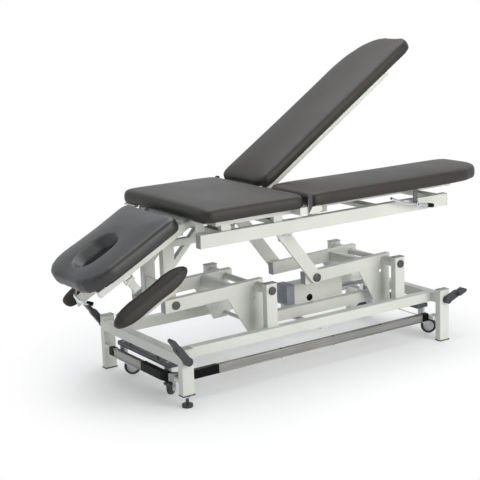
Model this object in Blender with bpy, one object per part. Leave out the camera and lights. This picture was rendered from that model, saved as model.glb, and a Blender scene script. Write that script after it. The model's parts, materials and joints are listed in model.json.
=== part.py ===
"""Electric treatment couch with a parallelogram lift, a divided leg section and a dropping head.

Metres, +Z up. The head end points to -X, the near side to -Y. Every moving piece hangs on an
empty that stands on its joint axis. The whole couch hangs on one empty that centres it.
"""
import math

import bmesh
import bpy
from mathutils import Matrix, Vector

# Fits shared by all pieces
GAP = 0.0003
PLAY = 0.0003
LAP = 0.0020
STEP = 0.0005
SEGMENTS = 12

# Base: two end frames, two rails with posts
BASE_HALF = 0.640
LEG_ALONG = 0.050
LEG_ACROSS = 0.030
LEG_OUTER = 0.305
LEG_ABOVE_BEAM = 0.019
SHORT_LEG_BOTTOM = 0.045
BEAM = 0.040
BEAM_BOTTOM = 0.155
RAIL_INNER = 0.200
RAIL_WIDTH = 0.040
POST_INNER = 0.190
POST_ALONG = 0.050
POST_ACROSS = 0.030
POST_OVER_PIVOT = 0.026
LEVELLER_PAD = 0.020
LEVELLER_PAD_THICK = 0.012
LEVELLER_STEM = 0.006
LEVELLER_STEM_TOP = 0.100

# Lift: two equal arms with cranks below, a tie bar, two pivot shafts
PIVOT_HEAD_X = -0.184
PIVOT_FOOT_X = 0.451
PIVOT_Z = 0.335
LIFT_REST = math.radians(-1.7)
ARM_LENGTH = 0.361
ARM_HEIGHT = 0.050
ARM_WIDTH = 0.030
ARM_INNER = 0.093
ARM_TIP = 0.043
ARM_TAIL = 0.030
BOSS_RADIUS = 0.019
SHAFT_RADIUS = 0.0125
SHAFT_HEAD_RADIUS = 0.016
SHAFT_HEAD = 0.006
UPPER_SHAFT_RADIUS = 0.010
CRANK_DROP = 0.154
CRANK_PIN_RADIUS = 0.008
GUSSET_THICK = 0.006
GUSSET_REACH = 0.135
GUSSET_FOOT = 0.052
GUSSET_BEHIND = 0.024
GUSSET_BELOW_PIN = 0.018
GUSSET_HOLE = 0.008
ARM_CROSS_AT = 0.100
ARM_CROSS_HEIGHT = 0.040
ARM_CROSS_WIDTH = 0.030
TIE_CENTRE_Y = -0.060
TIE_WIDTH = 0.030
TIE_HEIGHT = 0.044

# Actuator between the base rails and the foot crank
ACTUATOR_BACK = 0.020
ACTUATOR_FRONT = 0.300
ACTUATOR_HALF = 0.035
ACTUATOR_BOTTOM = 0.198
ACTUATOR_TOP = 0.280
ROD_RADIUS = 0.011
ROD_Z = 0.225
ROD_INSIDE = 0.110
ROD_STROKE = 0.105
FORK_SLOT = 0.026
FORK_PRONG = 0.012
FORK_HALF = 0.012
FORK_TOP = 0.236
CARRIER_X = (0.030, 0.066)
CARRIER_THICK = 0.006
PEDESTAL_HALF = 0.030

# Castors that come down when a pedal is pressed
WHEEL_RADIUS = 0.0325
WHEEL_WIDTH = 0.022
WHEEL_CLEAR = 0.003
WHEEL_AXLE = 0.005
CASTOR_IN = 0.025
CASTOR_Y = 0.165
CASTOR_TRAIL = 0.030
CASTOR_TURN = {"head_near": 45, "head_far": -34, "foot_near": -43, "foot_far": 150}
FORK_PLATE = 0.003
FORK_BRIDGE = 0.004
WHEEL_TO_BRIDGE = 0.0015
CASTOR_STEM = 0.006
CASTOR_BOSS = 0.014
BAR_BOTTOM = 0.118
BAR_THICK = 0.017
BAR_WIDTH = 0.060
BAR_OUT = 0.012
BAR_HALF = 0.190
GUIDE_RADIUS = 0.006
GUIDE_Y = 0.100
PEDAL_SHAFT = 0.007
CAM_THROW = 0.0085
CAM_WIDTH = 0.020
PEDAL_HUB = 0.016
PEDAL_WIDE = 0.020
PEDAL_REACH = {"head": 0.110, "foot": 0.084}
PEDAL_PADDLE = 0.034
PEDAL_ANGLE = {"head": 53, "foot": 21}

# Foot switch bar along the near side and the head end
SWITCH_Y = 0.240
SWITCH_OUT = 0.005
SWITCH_WIDTH = 0.020
SWITCH_BOTTOM = 0.079
SWITCH_HEIGHT = 0.033
SWITCH_BEND = 0.070
SWITCH_SLEEVE_RUN = 0.190
SWITCH_FOOT_ROOM = 0.095
SWITCH_HEAD_FROM = -0.035
SWITCH_HEAD_TO = 0.176
SWITCH_END = 0.030
SWITCH_SLEEVE = 0.0015
SWITCH_LUG = 0.014

# Top frame
TOP_RAIL_INNER = 0.230
TOP_RAIL_WIDTH = 0.030
TOP_RAIL_BOTTOM = 0.551
TOP_RAIL_HEIGHT = 0.050
TOP_RAIL_HEAD = -0.512
TOP_RAIL_FOOT = 0.668
CROSS_HEIGHT = 0.020
CROSS_WIDTH = 0.040
CROSS_AT = (-0.400, 0.300, 0.620)
SEAT_CROSS_BACK = 0.0346
STRUT_INNER = 0.058
STRUT_WIDTH = 0.030
STRUT_ALONG = 0.050
STRUT_TOP = 0.560
STRUT_BELOW = 0.030
BRACE = 0.020
BRACE_FROM_Z = 0.455
LINK_HEIGHT = 0.025
DIAGONAL_THICK = 0.012
DIAGONAL_WIDTH = 0.050
DIAGONAL_SLOPE = math.radians(52)
HINGE_PLATE_INNER = 0.1985
HINGE_PLATE = 0.006
HINGE_PLATE_RADIUS = 0.018
HEAD_PIN = 0.008

# Upholstered sections
FRAME_BOTTOM = 0.6215
FRAME_HEIGHT = 0.030
FRAME_TUBE = 0.025
CUSHION_BOTTOM = 0.652
CUSHION_THICK = 0.048
CUSHION_CROWN = 0.006
CUSHION_HALF = 0.316
CUSHION_DRAW = 0.003
CUSHION_ROLL = 0.018
SEAT_HEAD = -0.523
SEAT_CORNER = (0.040, 0.040)
LEG_HINGE_X = -0.066
LEG_HINGE_Z = 0.686
LEG_START = 0.004
LEG_LENGTH = 0.956
LEG_SPLIT = 0.008
LEG_FRAME_LENGTH = 0.790
LEG_OUTER_CORNER = (0.230, 0.150)
LEG_INNER_CORNER = (0.060, 0.050)
LEG_REST = {"near": 0.0, "far": math.radians(33.5)}
HINGE_LEAF = 0.0052
HINGE_EYE = 0.009
HINGE_PIN = 0.0035
LEAF_INSET = 0.0125
LUG_HALF = 0.0035
LUG_PIN = 0.0022
LEAF_FOOT = 0.044
LEG_BAR_AT = (0.030, 0.181, 0.765)
LEG_BAR_RISE = (0.006, 0.0, 0.0)
LEG_TUBES = (0.060, 0.198)
SEAT_BAR_HEAD = -0.445
SEAT_SPACERS = (-0.400, -0.170)
SPACER = 0.040

# Head section and armrests
HEAD_HINGE_X = -0.478
HEAD_HINGE_Z = 0.6325
HEAD_REST = math.radians(-28)
HEAD_TUBE_INNER = 0.135
HEAD_TUBE = 0.025
HEAD_HINGE_TUBE = 0.0145
HEAD_FRAME_END = 0.440
HEAD_BARS = (0.080, 0.420)
HEAD_START = 0.050
HEAD_END = 0.476
HEAD_HALF = 0.190
HEAD_CUSHION_THICK = 0.059
HEAD_CORNER = (0.110, 0.100)
FACE_AT = 0.320
FACE_RIM = (0.200, 0.155)
FACE_SLOT = (0.135, 0.062)
ARM_AXIS_Y = 0.150
ARM_AXIS_N = -0.030
ARM_ROLL = math.radians(60)
PAD_FROM = 0.123
PAD_LENGTH = 0.345
PAD_WIDTH = 0.075
PAD_CORNER = (0.095, 0.0365)
PAD_THICK = 0.050
PAD_OUT = 0.055
PAD_PLATE = 0.004
ARM_BAR_AT = 0.318
ARM_BAR_WIDTH = 0.028
ARM_HUB = 0.010
ARM_PIN = 0.004

# Levers
LEVER_RADIUS = 0.006
LEVER_HUB = 0.010
LEVER_PIN = 0.004
LEVER_LUG = 0.005
LEVER_HUB_HALF = 0.007
LEG_LEVER_Y = 0.290
LEG_LEVER_PATH = ((0.411, -0.061), (0.486, -0.090), (0.546, -0.101), (0.626, -0.117))
HEAD_LEVER_PATH = ((0.405, 0.060, -0.024), (0.440, 0.058, -0.026), (0.466, 0.005, -0.047),
                   (0.440, -0.030, -0.070))

# Telescopic stays: radius of both eyes from the section hinge, directions seen from it
LEG_STAY_Y = 0.165
LEG_STAY_RADIUS = 0.180
LEG_STAY_LOW = math.radians(-100)
LEG_STAY_HIGH = math.radians(-27)
LEG_STAY_NECK = 0.036
LEG_STAY_EYE_ROOM = 0.0131
LEG_STAY_ROD_ROOM = 0.0136
LEG_STAY_SLACK = 0.0045
LEG_TRAVEL = math.radians(65)
HEAD_STAY_Y = 0.1475
HEAD_STAY_RADIUS = 0.110
HEAD_STAY_LOW = math.radians(276)
HEAD_STAY_HIGH = math.radians(222)
HEAD_STAY_NECK = 0.014
HEAD_STAY_EYE_ROOM = 0.0069
HEAD_STAY_ROD_ROOM = 0.0099
STAY_RADIUS = 0.0085
STAY_ROD = 0.005
STAY_EYE = 0.009
STAY_EYE_HALF = 0.007
STAY_PIN = 0.004
STAY_LUG = 0.004
STAY_LUG_GAP = 0.0018

# Values that follow from the sizes above
LEG_INNER = LEG_OUTER - LEG_ACROSS
BEAM_TOP = BEAM_BOTTOM + BEAM
BEAM_X = BASE_HALF - BEAM / 2
BEAM_Z = BEAM_BOTTOM + BEAM / 2
LEG_TOP = BEAM_TOP + LEG_ABOVE_BEAM
RAIL_OUTER = RAIL_INNER + RAIL_WIDTH
POST_OUTER = POST_INNER + POST_ACROSS
ARM_OUTER = ARM_INNER + ARM_WIDTH
FREE_HEAD = (PIVOT_HEAD_X - ARM_LENGTH * math.cos(LIFT_REST), PIVOT_Z + ARM_LENGTH * math.sin(LIFT_REST))
FREE_FOOT = (FREE_HEAD[0] + PIVOT_FOOT_X - PIVOT_HEAD_X, FREE_HEAD[1])
CRANK_SHIFT = -CRANK_DROP * math.sin(LIFT_REST)
CRANK_Z = PIVOT_Z - CRANK_DROP * math.cos(LIFT_REST)
LEAF_INNER = CUSHION_HALF - LEAF_INSET
TOP_RAIL_TOP = TOP_RAIL_BOTTOM + TOP_RAIL_HEIGHT
TOP_RAIL_OUTER = TOP_RAIL_INNER + TOP_RAIL_WIDTH
CROSS_BOTTOM = TOP_RAIL_TOP - CROSS_HEIGHT
FRAME_TOP = FRAME_BOTTOM + FRAME_HEIGHT
CASTOR_X = BASE_HALF - CASTOR_IN
HEAD_CUSHION_BOTTOM = HEAD_TUBE / 2 + GAP
SEAT_FOOT = LEG_HINGE_X - LEG_START
SWITCH_X = BASE_HALF + SWITCH_OUT
SWITCH_NEAR_FROM = SWITCH_SLEEVE_RUN - BASE_HALF
SWITCH_NEAR_TO = BASE_HALF - SWITCH_FOOT_ROOM
DIAGONAL_RISE = CROSS_BOTTOM - FREE_FOOT[1]
SEAT_CROSS = FREE_FOOT[0] - DIAGONAL_RISE / math.tan(DIAGONAL_SLOPE) - SEAT_CROSS_BACK
LEG_STAY_SPREAD = LEG_STAY_HIGH - LEG_STAY_LOW
LEG_STAY_SHORT = 2 * LEG_STAY_RADIUS * math.sin(LEG_STAY_SPREAD / 2)
LEG_STAY_LONG = 2 * LEG_STAY_RADIUS * math.sin((LEG_STAY_SPREAD + LEG_TRAVEL) / 2)
LEG_STAY_RATE = (LEG_STAY_LONG - LEG_STAY_SHORT) / LEG_TRAVEL
LEG_STAY_BARREL = LEG_STAY_SHORT - STAY_EYE - LEG_STAY_EYE_ROOM
LEG_STAY_ROD = LEG_STAY_SHORT + LEG_STAY_SLACK - LEG_STAY_NECK - 2 * LAP - LEG_STAY_ROD_ROOM
HEAD_STAY_SHORT = 2 * HEAD_STAY_RADIUS * math.sin((HEAD_STAY_LOW - HEAD_STAY_HIGH) / 2)
HEAD_STAY_BARREL = HEAD_STAY_SHORT - STAY_EYE - HEAD_STAY_EYE_ROOM
HEAD_STAY_ROD = HEAD_STAY_SHORT - HEAD_STAY_NECK - 2 * LAP - HEAD_STAY_ROD_ROOM
WHEEL_Z = WHEEL_CLEAR + WHEEL_RADIUS
BAR_TOP = BAR_BOTTOM + BAR_THICK
SIDES = {"near": -1, "far": 1}
ENDS = {"head": -1, "foot": 1}
NODES = []


def clear_scene():
    for obj in list(bpy.data.objects):
        bpy.data.objects.remove(obj)


def finish(name, colour, roughness, metallic=0.0):
    material = bpy.data.materials.new(name)
    material.use_nodes = True
    shader = material.node_tree.nodes["Principled BSDF"]
    shader.inputs["Base Color"].default_value = (*colour, 1.0)
    shader.inputs["Roughness"].default_value = roughness
    shader.inputs["Metallic"].default_value = metallic
    return material


def empty(name, place, turn=(0.0, 0.0, 0.0), parent=None):
    obj = bpy.data.objects.new(name, None)
    bpy.context.collection.objects.link(obj)
    obj.location = place
    obj.rotation_euler = turn
    obj.parent = parent
    return obj


def solid(bm):
    """Turn a closed bmesh into a linked object with its faces outward."""
    bmesh.ops.recalc_face_normals(bm, faces=bm.faces)
    mesh = bpy.data.meshes.new("solid")
    bm.to_mesh(mesh)
    bm.free()
    obj = bpy.data.objects.new("solid", mesh)
    bpy.context.collection.objects.link(obj)
    return obj


def combine(target, others, operation):
    """Bake one Boolean per other solid into the target and remove the others."""
    if not others:
        return
    for other in others:
        modifier = target.modifiers.new("joined", "BOOLEAN")
        modifier.operation = operation
        modifier.solver = "EXACT"
        modifier.object = other
    bpy.context.view_layer.update()
    evaluated = target.evaluated_get(bpy.context.evaluated_depsgraph_get())
    baked = bpy.data.meshes.new_from_object(evaluated)
    target.modifiers.clear()
    target.data = baked
    for other in others:
        bpy.data.objects.remove(other)


def node(name, pieces, material, parent, cuts=(), origin=(0, 0, 0)):
    """Weld the pieces, take the cuts out and hang the result on its empty.

    Pieces drawn in couch coordinates give the empty's place as their origin.
    """
    obj = pieces[0]
    combine(obj, pieces[1:], "UNION")
    combine(obj, list(cuts), "DIFFERENCE")
    obj.data.transform(Matrix.Translation(-Vector(origin)))
    obj.name = name
    obj.data.name = name
    obj.data.materials.clear()
    obj.data.materials.append(material)
    obj.parent = parent
    NODES.append(obj)
    return obj


def skin(rings):
    """Closed skin over rings of equal point count, with flat ends."""
    bm = bmesh.new()
    loops = [[bm.verts.new(point) for point in ring] for ring in rings]
    for low, high in zip(loops, loops[1:]):
        for i in range(len(low)):
            j = (i + 1) % len(low)
            bm.faces.new((low[i], low[j], high[j], high[i]))
    bm.faces.new(loops[0])
    bm.faces.new(loops[-1])
    return solid(bm)


def prism(outline, axis, low, high):
    """Extrude a flat outline along one axis: x takes (y, z), y takes (x, z), z takes (x, y)."""
    place = {"x": lambda u, v, w: (w, u, v), "y": lambda u, v, w: (u, w, v),
             "z": lambda u, v, w: (u, v, w)}[axis]
    return skin([[place(u, v, level) for u, v in outline] for level in (low, high)])


def arc(centre, radius, start, end, steps):
    """Points between two angles in degrees on a round arc, or an oval one from a radius pair."""
    wide, tall = radius if isinstance(radius, tuple) else (radius, radius)
    points = []
    for i in range(steps + 1):
        angle = math.radians(start + (end - start) * i / steps)
        points.append((centre[0] + wide * math.cos(angle), centre[1] + tall * math.sin(angle)))
    return points


def rounded(low, high, radius, steps=2):
    """Rectangle outline from corner low to corner high with rounded corners."""
    (x0, y0), (x1, y1) = low, high
    points = []
    corners = ((x1, y0, -90), (x1, y1, 0), (x0, y1, 90), (x0, y0, 180))
    for x, y, start in corners:
        centre = (x - radius if x == x1 else x + radius, y - radius if y == y1 else y + radius)
        points += arc(centre, radius, start, start + 90, steps)
    return points


def block(x, y, z):
    """Plain block between (low, high) pairs given in any order."""
    bm = bmesh.new()
    bmesh.ops.create_cube(bm, size=1.0)
    for vert in bm.verts:
        for axis, pair in enumerate((x, y, z)):
            vert.co[axis] = min(pair) if vert.co[axis] < 0 else max(pair)
    return solid(bm)


def tube(axis, x, y, z, radius=0.004, steps=2):
    """Rectangular section bar with rounded long edges along one axis; one step is a chamfer."""
    pairs = {"x": (y, z, x), "y": (x, z, y), "z": (x, y, z)}[axis]
    u, v, run = [(min(pair), max(pair)) for pair in pairs]
    return prism(rounded((u[0], v[0]), (u[1], v[1]), radius, steps), axis, run[0], run[1])


def rod(start, end, radius, segments=SEGMENTS):
    """Round bar between two points."""
    start, end = Vector(start), Vector(end)
    along = end - start
    turn = along.to_track_quat("Z", "Y").to_matrix().to_4x4()
    bm = bmesh.new()
    bmesh.ops.create_cone(bm, cap_ends=True, segments=segments, radius1=radius, radius2=radius,
                          depth=along.length, matrix=Matrix.Translation((start + end) / 2) @ turn)
    return solid(bm)


def bore(start, end, radius, segments=SEGMENTS):
    """Cutter whose flats clear a pin of this radius by the running play."""
    return rod(start, end, (radius + PLAY) / math.cos(math.pi / segments), segments)


def strip(start, end, width, rounded_start=False, rounded_end=False):
    """Flat bar outline between two points, with half-round ends where asked."""
    angle = math.degrees(math.atan2(end[1] - start[1], end[0] - start[0]))
    half = width / 2
    first = arc(start, half, angle + 90, angle + 270, 8 if rounded_start else 1)
    last = arc(end, half, angle - 90, angle + 90, 8 if rounded_end else 1)
    return first + last


def bent_rod(points, radius):
    """Round bar along a bent path, as a curve with a round bevel and filled ends."""
    curve = bpy.data.curves.new("path", "CURVE")
    curve.dimensions = "3D"
    curve.bevel_depth = radius
    curve.bevel_resolution = 1
    curve.resolution_u = 2
    curve.use_fill_caps = True
    spline = curve.splines.new("BEZIER")
    spline.bezier_points.add(len(points) - 1)
    for knot, point in zip(spline.bezier_points, points):
        knot.co = point
        knot.handle_left_type = "AUTO"
        knot.handle_right_type = "AUTO"
    path = bpy.data.objects.new("path", curve)
    bpy.context.collection.objects.link(path)
    bpy.context.view_layer.update()
    bm = bmesh.new()
    bm.from_mesh(path.evaluated_get(bpy.context.evaluated_depsgraph_get()).to_mesh())
    bmesh.ops.remove_doubles(bm, verts=bm.verts, dist=1e-6)
    bpy.data.objects.remove(path)
    return solid(bm)


def cushion_outline(x, y, corners, inset, steps=4, spans=4):
    """Pad outline inset from its edge; straight sides are drawn in between the corners."""
    (x0, x1), (y0, y1) = x, y
    places = ((x1, y0, -90, -1, 1), (x1, y1, 0, -1, -1), (x0, y1, 90, 1, -1), (x0, y0, 180, 1, 1))
    turns = []
    for (px, py, start, sx, sy), corner in zip(places, corners):
        radius = (max(corner[0] - inset, 0.004), max(corner[1] - inset, 0.004))
        centre = (px + sx * (inset + radius[0]), py + sy * (inset + radius[1]))
        turns.append(arc(centre, radius, start, start + 90, steps))
    points = []
    for i, turn in enumerate(turns):
        points += turn
        begin, end = Vector(turn[-1]), Vector(turns[(i + 1) % 4][0])
        inward = Vector((begin.y - end.y, end.x - begin.x)).normalized()
        for k in range(1, spans):
            t = k / spans
            point = begin.lerp(end, t) + inward * CUSHION_DRAW * math.sin(math.pi * t)
            points.append((point.x, point.y))
    return points


def cushion(x, y, bottom, thick, corners, crown=CUSHION_CROWN):
    """Upholstered pad: rolled edges, sides drawn in, top crowned towards the middle."""
    top = bottom + thick
    half = min(x[1] - x[0], y[1] - y[0]) / 2
    roll = CUSHION_ROLL
    profile = [(0.4 * roll, bottom), (0.0, bottom + 0.3 * thick)]
    for angle in (0, 30, 60, 90):
        turn = math.radians(angle)
        profile.append((roll * (1 - math.cos(turn)), top - roll * (1 - math.sin(turn))))
    for share in (0.3, 0.6, 0.88):
        profile.append((roll + share * (half - 1.1 * roll), top + crown * math.sin(math.pi / 2 * share)))
    rings = []
    for inset, level in profile:
        rings.append([(px, py, level) for px, py in cushion_outline(x, y, corners, inset)])
    return skin(rings)


def stay_frame(hinge, radius, low, high):
    """Lower eye, upper eye and slope of a stay whose eyes lie equally far from the hinge."""
    lower = (hinge[0] + radius * math.cos(low), hinge[1] + radius * math.sin(low))
    upper = (hinge[0] + radius * math.cos(high), hinge[1] + radius * math.sin(high))
    slope = math.atan2(upper[1] - lower[1], upper[0] - lower[0])
    return lower, upper, slope


def switch_corner():
    """Centre of the foot bar's bend and its outer radius."""
    centre = (-(SWITCH_X - SWITCH_BEND), -(SWITCH_Y - SWITCH_BEND))
    return centre, SWITCH_BEND + SWITCH_WIDTH / 2 + SWITCH_SLEEVE


def switch_lugs(end):
    """Lugs on the legs that guide the foot bar, each ending just short of it."""
    middle = SWITCH_BOTTOM + SWITCH_HEIGHT / 2
    height = (middle - SWITCH_LUG / 2, middle + SWITCH_LUG / 2)
    root_y = LEG_INNER + LAP
    if end == "foot":
        reach = SWITCH_NEAR_TO + GAP + SWITCH_END + GAP
        return [block((reach, BASE_HALF - LEG_ALONG / 2), (-root_y, -SWITCH_Y), height)]
    centre, radius = switch_corner()
    inner_x = -(BASE_HALF - LEG_ALONG / 2)
    reach_y = centre[1] - math.sqrt(radius ** 2 - (inner_x - centre[0]) ** 2) - GAP
    far_reach = SWITCH_HEAD_TO + GAP + SWITCH_END + GAP
    outer_x = -(BASE_HALF - STEP)
    return [block((outer_x + LAP, inner_x), (-root_y, reach_y), height),
            block((outer_x, outer_x + SWITCH_LUG), (far_reach, root_y), height)]


def build_base(paint, dark, steel, root):
    for end, sign in ENDS.items():
        outer, inner = sign * BASE_HALF, sign * (BASE_HALF - LEG_ALONG)
        beam_x = (sign * (BASE_HALF - STEP), sign * (BASE_HALF - BEAM))
        pieces = [tube("y", beam_x, (-LEG_INNER - LAP, LEG_INNER + LAP), (BEAM_BOTTOM, BEAM_TOP))]
        for side, across in SIDES.items():
            short = (end, side) == ("head", "near")
            bottom = SHORT_LEG_BOTTOM if short else 0.0
            leg_y = (across * LEG_INNER, across * LEG_OUTER)
            pieces.append(tube("z", (outer, inner), leg_y, (bottom, LEG_TOP)))
        pieces += switch_lugs(end)
        x = sign * BEAM_X
        past = LEG_OUTER + LAP
        cuts = [bore((x, -past, BEAM_Z), (x, past, BEAM_Z), PEDAL_SHAFT)]
        for across in SIDES.values():
            y = across * GUIDE_Y
            room = CAM_WIDTH / 2 + LAP
            cuts.append(bore((x, y - room, BEAM_Z), (x, y + room, BEAM_Z), 2 * CAM_THROW))
            cuts.append(bore((x, y, BEAM_BOTTOM - LAP), (x, y, BEAM_Z), GUIDE_RADIUS))
        if end == "head":
            foot_x, foot_y = leveller_place()
            cuts.append(bore((foot_x, foot_y, 0.0), (foot_x, foot_y, LEVELLER_STEM_TOP + LAP), LEVELLER_STEM))
        node("end_frame_" + end, pieces, paint, root, cuts)
    rail_end = BASE_HALF - BEAM - GAP
    for side, across in SIDES.items():
        rail_y = (across * RAIL_INNER, across * RAIL_OUTER)
        pieces = [tube("x", (-rail_end, rail_end), rail_y, (BEAM_BOTTOM, BEAM_TOP))]
        cuts = []
        for x in (PIVOT_HEAD_X, PIVOT_FOOT_X):
            post_x = (x - POST_ALONG / 2, x + POST_ALONG / 2)
            post_y = (across * POST_INNER, across * POST_OUTER)
            pieces.append(tube("z", post_x, post_y, (BEAM_TOP - LAP, PIVOT_Z + POST_OVER_PIVOT)))
            past = across * (POST_OUTER + LAP)
            cuts.append(bore((x, across * (POST_INNER - LAP), PIVOT_Z), (x, past, PIVOT_Z), SHAFT_RADIUS))
        node("base_rail_" + side, pieces, paint, root, cuts)
    for end, x in (("head", PIVOT_HEAD_X), ("foot", PIVOT_FOOT_X)):
        reach = POST_OUTER + GAP
        half = reach + SHAFT_HEAD / 2
        pieces = [rod((x, -half, PIVOT_Z), (x, half, PIVOT_Z), SHAFT_RADIUS)]
        for across in SIDES.values():
            start, stop = across * reach, across * (reach + SHAFT_HEAD)
            pieces.append(rod((x, start, PIVOT_Z), (x, stop, PIVOT_Z), SHAFT_HEAD_RADIUS))
        node("pivot_shaft_" + end, pieces, steel, root)
    foot_x, foot_y = leveller_place()
    screw = empty("levelling_screw", (foot_x, foot_y, 0.0), parent=root)
    pieces = [rod((0, 0, 0), (0, 0, LEVELLER_PAD_THICK), LEVELLER_PAD, 20),
              rod((0, 0, LEVELLER_PAD_THICK - LAP), (0, 0, LEVELLER_STEM_TOP), LEVELLER_STEM)]
    node("levelling_foot", pieces, dark, screw)


def leveller_place():
    """Middle of the shortened leg."""
    return -(BASE_HALF - LEG_ALONG / 2), -(LEG_INNER + LEG_ACROSS / 2)


def build_castors(dark, grey, steel, rubber, root):
    for end, sign in ENDS.items():
        axis = empty("pedal_axis_" + end, (sign * BEAM_X, 0.0, BEAM_Z), parent=root)
        reach = LEG_OUTER + GAP + PEDAL_WIDE
        pieces = [rod((0, -reach, 0), (0, reach, 0), PEDAL_SHAFT)]
        for across in SIDES.values():
            y = across * GUIDE_Y
            lobe = [(sign * CAM_THROW, y + half * CAM_WIDTH / 2, 0) for half in (-1, 1)]
            pieces.append(rod(lobe[0], lobe[1], CAM_THROW - PLAY))
        node("castor_shaft_" + end, pieces, steel, axis)
        for side, across in SIDES.items():
            build_pedal(end, sign, side, across, dark, axis)
        slide = empty("castor_slide_" + end, (0, 0, 0), parent=root)
        edges = (sign * (BASE_HALF - BAR_OUT), sign * (BASE_HALF - BAR_OUT - BAR_WIDTH))
        pieces = [tube("y", edges, (-BAR_HALF, BAR_HALF), (BAR_BOTTOM, BAR_TOP), 0.003)]
        pin_top = BEAM_Z - CAM_THROW - GAP
        cuts = []
        for across in SIDES.values():
            x, y = sign * BEAM_X, across * GUIDE_Y
            pieces.append(rod((x, y, BAR_TOP - LAP), (x, y, pin_top), GUIDE_RADIUS))
            x, y = sign * CASTOR_X, across * CASTOR_Y
            cuts.append(bore((x, y, BAR_BOTTOM - LAP), (x, y, BAR_TOP + LAP), CASTOR_STEM))
        node("castor_bar_" + end, pieces, grey, slide, cuts)
        for side, across in SIDES.items():
            build_castor(end + "_" + side, (sign * CASTOR_X, across * CASTOR_Y), steel, rubber, slide)


def build_pedal(end, sign, side, across, dark, axis):
    """Pedal arm on the shaft's end, with a broader paddle at its tip."""
    angle = math.radians(PEDAL_ANGLE[end])
    tip = (sign * PEDAL_REACH[end] * math.cos(angle), PEDAL_REACH[end] * math.sin(angle))
    near, far = across * (LEG_OUTER + GAP), across * (LEG_OUTER + GAP + PEDAL_WIDE)
    mid = (tip[0] * 0.62, tip[1] * 0.62)
    arm = prism(strip((0, 0), mid, 1.6 * PEDAL_HUB, True, True), "y", near, far)
    paddle_y = (near, across * (LEG_OUTER + GAP + PEDAL_PADDLE))
    blade = strip(mid, tip, 0.9 * PEDAL_HUB, True, True)
    paddle = prism(blade, "y", paddle_y[0] + across * STEP, paddle_y[1])
    hub = rod((0, near + across * STEP, 0), (0, far + across * STEP, 0), PEDAL_HUB)
    cut = bore((0, near - across * LAP, 0), (0, far + across * LAP, 0), PEDAL_SHAFT)
    node("pedal_{}_{}".format(end, side), [arm, hub, paddle], dark, axis, [cut])


def build_castor(name, place, steel, rubber, slide):
    turn = math.radians(CASTOR_TURN[name])
    swivel = empty("castor_swivel_" + name, (place[0], place[1], 0.0), (0, 0, turn), slide)
    inner = WHEEL_WIDTH / 2 + 5 * GAP
    outer = inner + FORK_PLATE
    bridge = WHEEL_Z + WHEEL_RADIUS + WHEEL_TO_BRIDGE
    top = bridge + FORK_BRIDGE
    axle = (CASTOR_TRAIL, WHEEL_Z)
    pieces = [tube("y", (-CASTOR_BOSS, CASTOR_BOSS), (-outer, outer), (bridge, top), 0.002)]
    cheek = [(-CASTOR_BOSS + STEP, top - STEP)] + arc(axle, CASTOR_BOSS * 0.8, 200, 380, 6)
    cheek.append((CASTOR_BOSS - STEP, top - STEP))
    for across in SIDES.values():
        pieces.append(prism(cheek, "y", across * inner, across * (outer - STEP / 2)))
    pieces.append(rod((0, 0, top - LAP), (0, 0, BAR_BOTTOM - GAP), CASTOR_BOSS))
    pieces.append(rod((0, 0, BAR_BOTTOM - LAP), (0, 0, BAR_TOP), CASTOR_STEM))
    pieces.append(rod((axle[0], -outer - LAP, axle[1]), (axle[0], outer + LAP, axle[1]), WHEEL_AXLE))
    node("castor_fork_" + name, pieces, steel, swivel)
    axis = empty("castor_axle_" + name, (axle[0], 0.0, axle[1]), parent=swivel)
    half, edge = WHEEL_WIDTH / 2, 0.004
    profile = ((half, WHEEL_RADIUS * 0.55), (half - edge, WHEEL_RADIUS * 0.72), (half, WHEEL_RADIUS - edge),
               (half - edge, WHEEL_RADIUS))
    levels = [(-y, r) for y, r in profile] + [(y, r) for y, r in reversed(profile)]
    rings = [[(r * math.cos(a), y, r * math.sin(a)) for a in full_turn(20)] for y, r in levels]
    cut = bore((0, -half - LAP, 0), (0, half + LAP, 0), WHEEL_AXLE)
    node("castor_wheel_" + name, [skin(rings)], rubber, axis, [cut])


def full_turn(count):
    return [2 * math.pi * i / count for i in range(count)]


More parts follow.
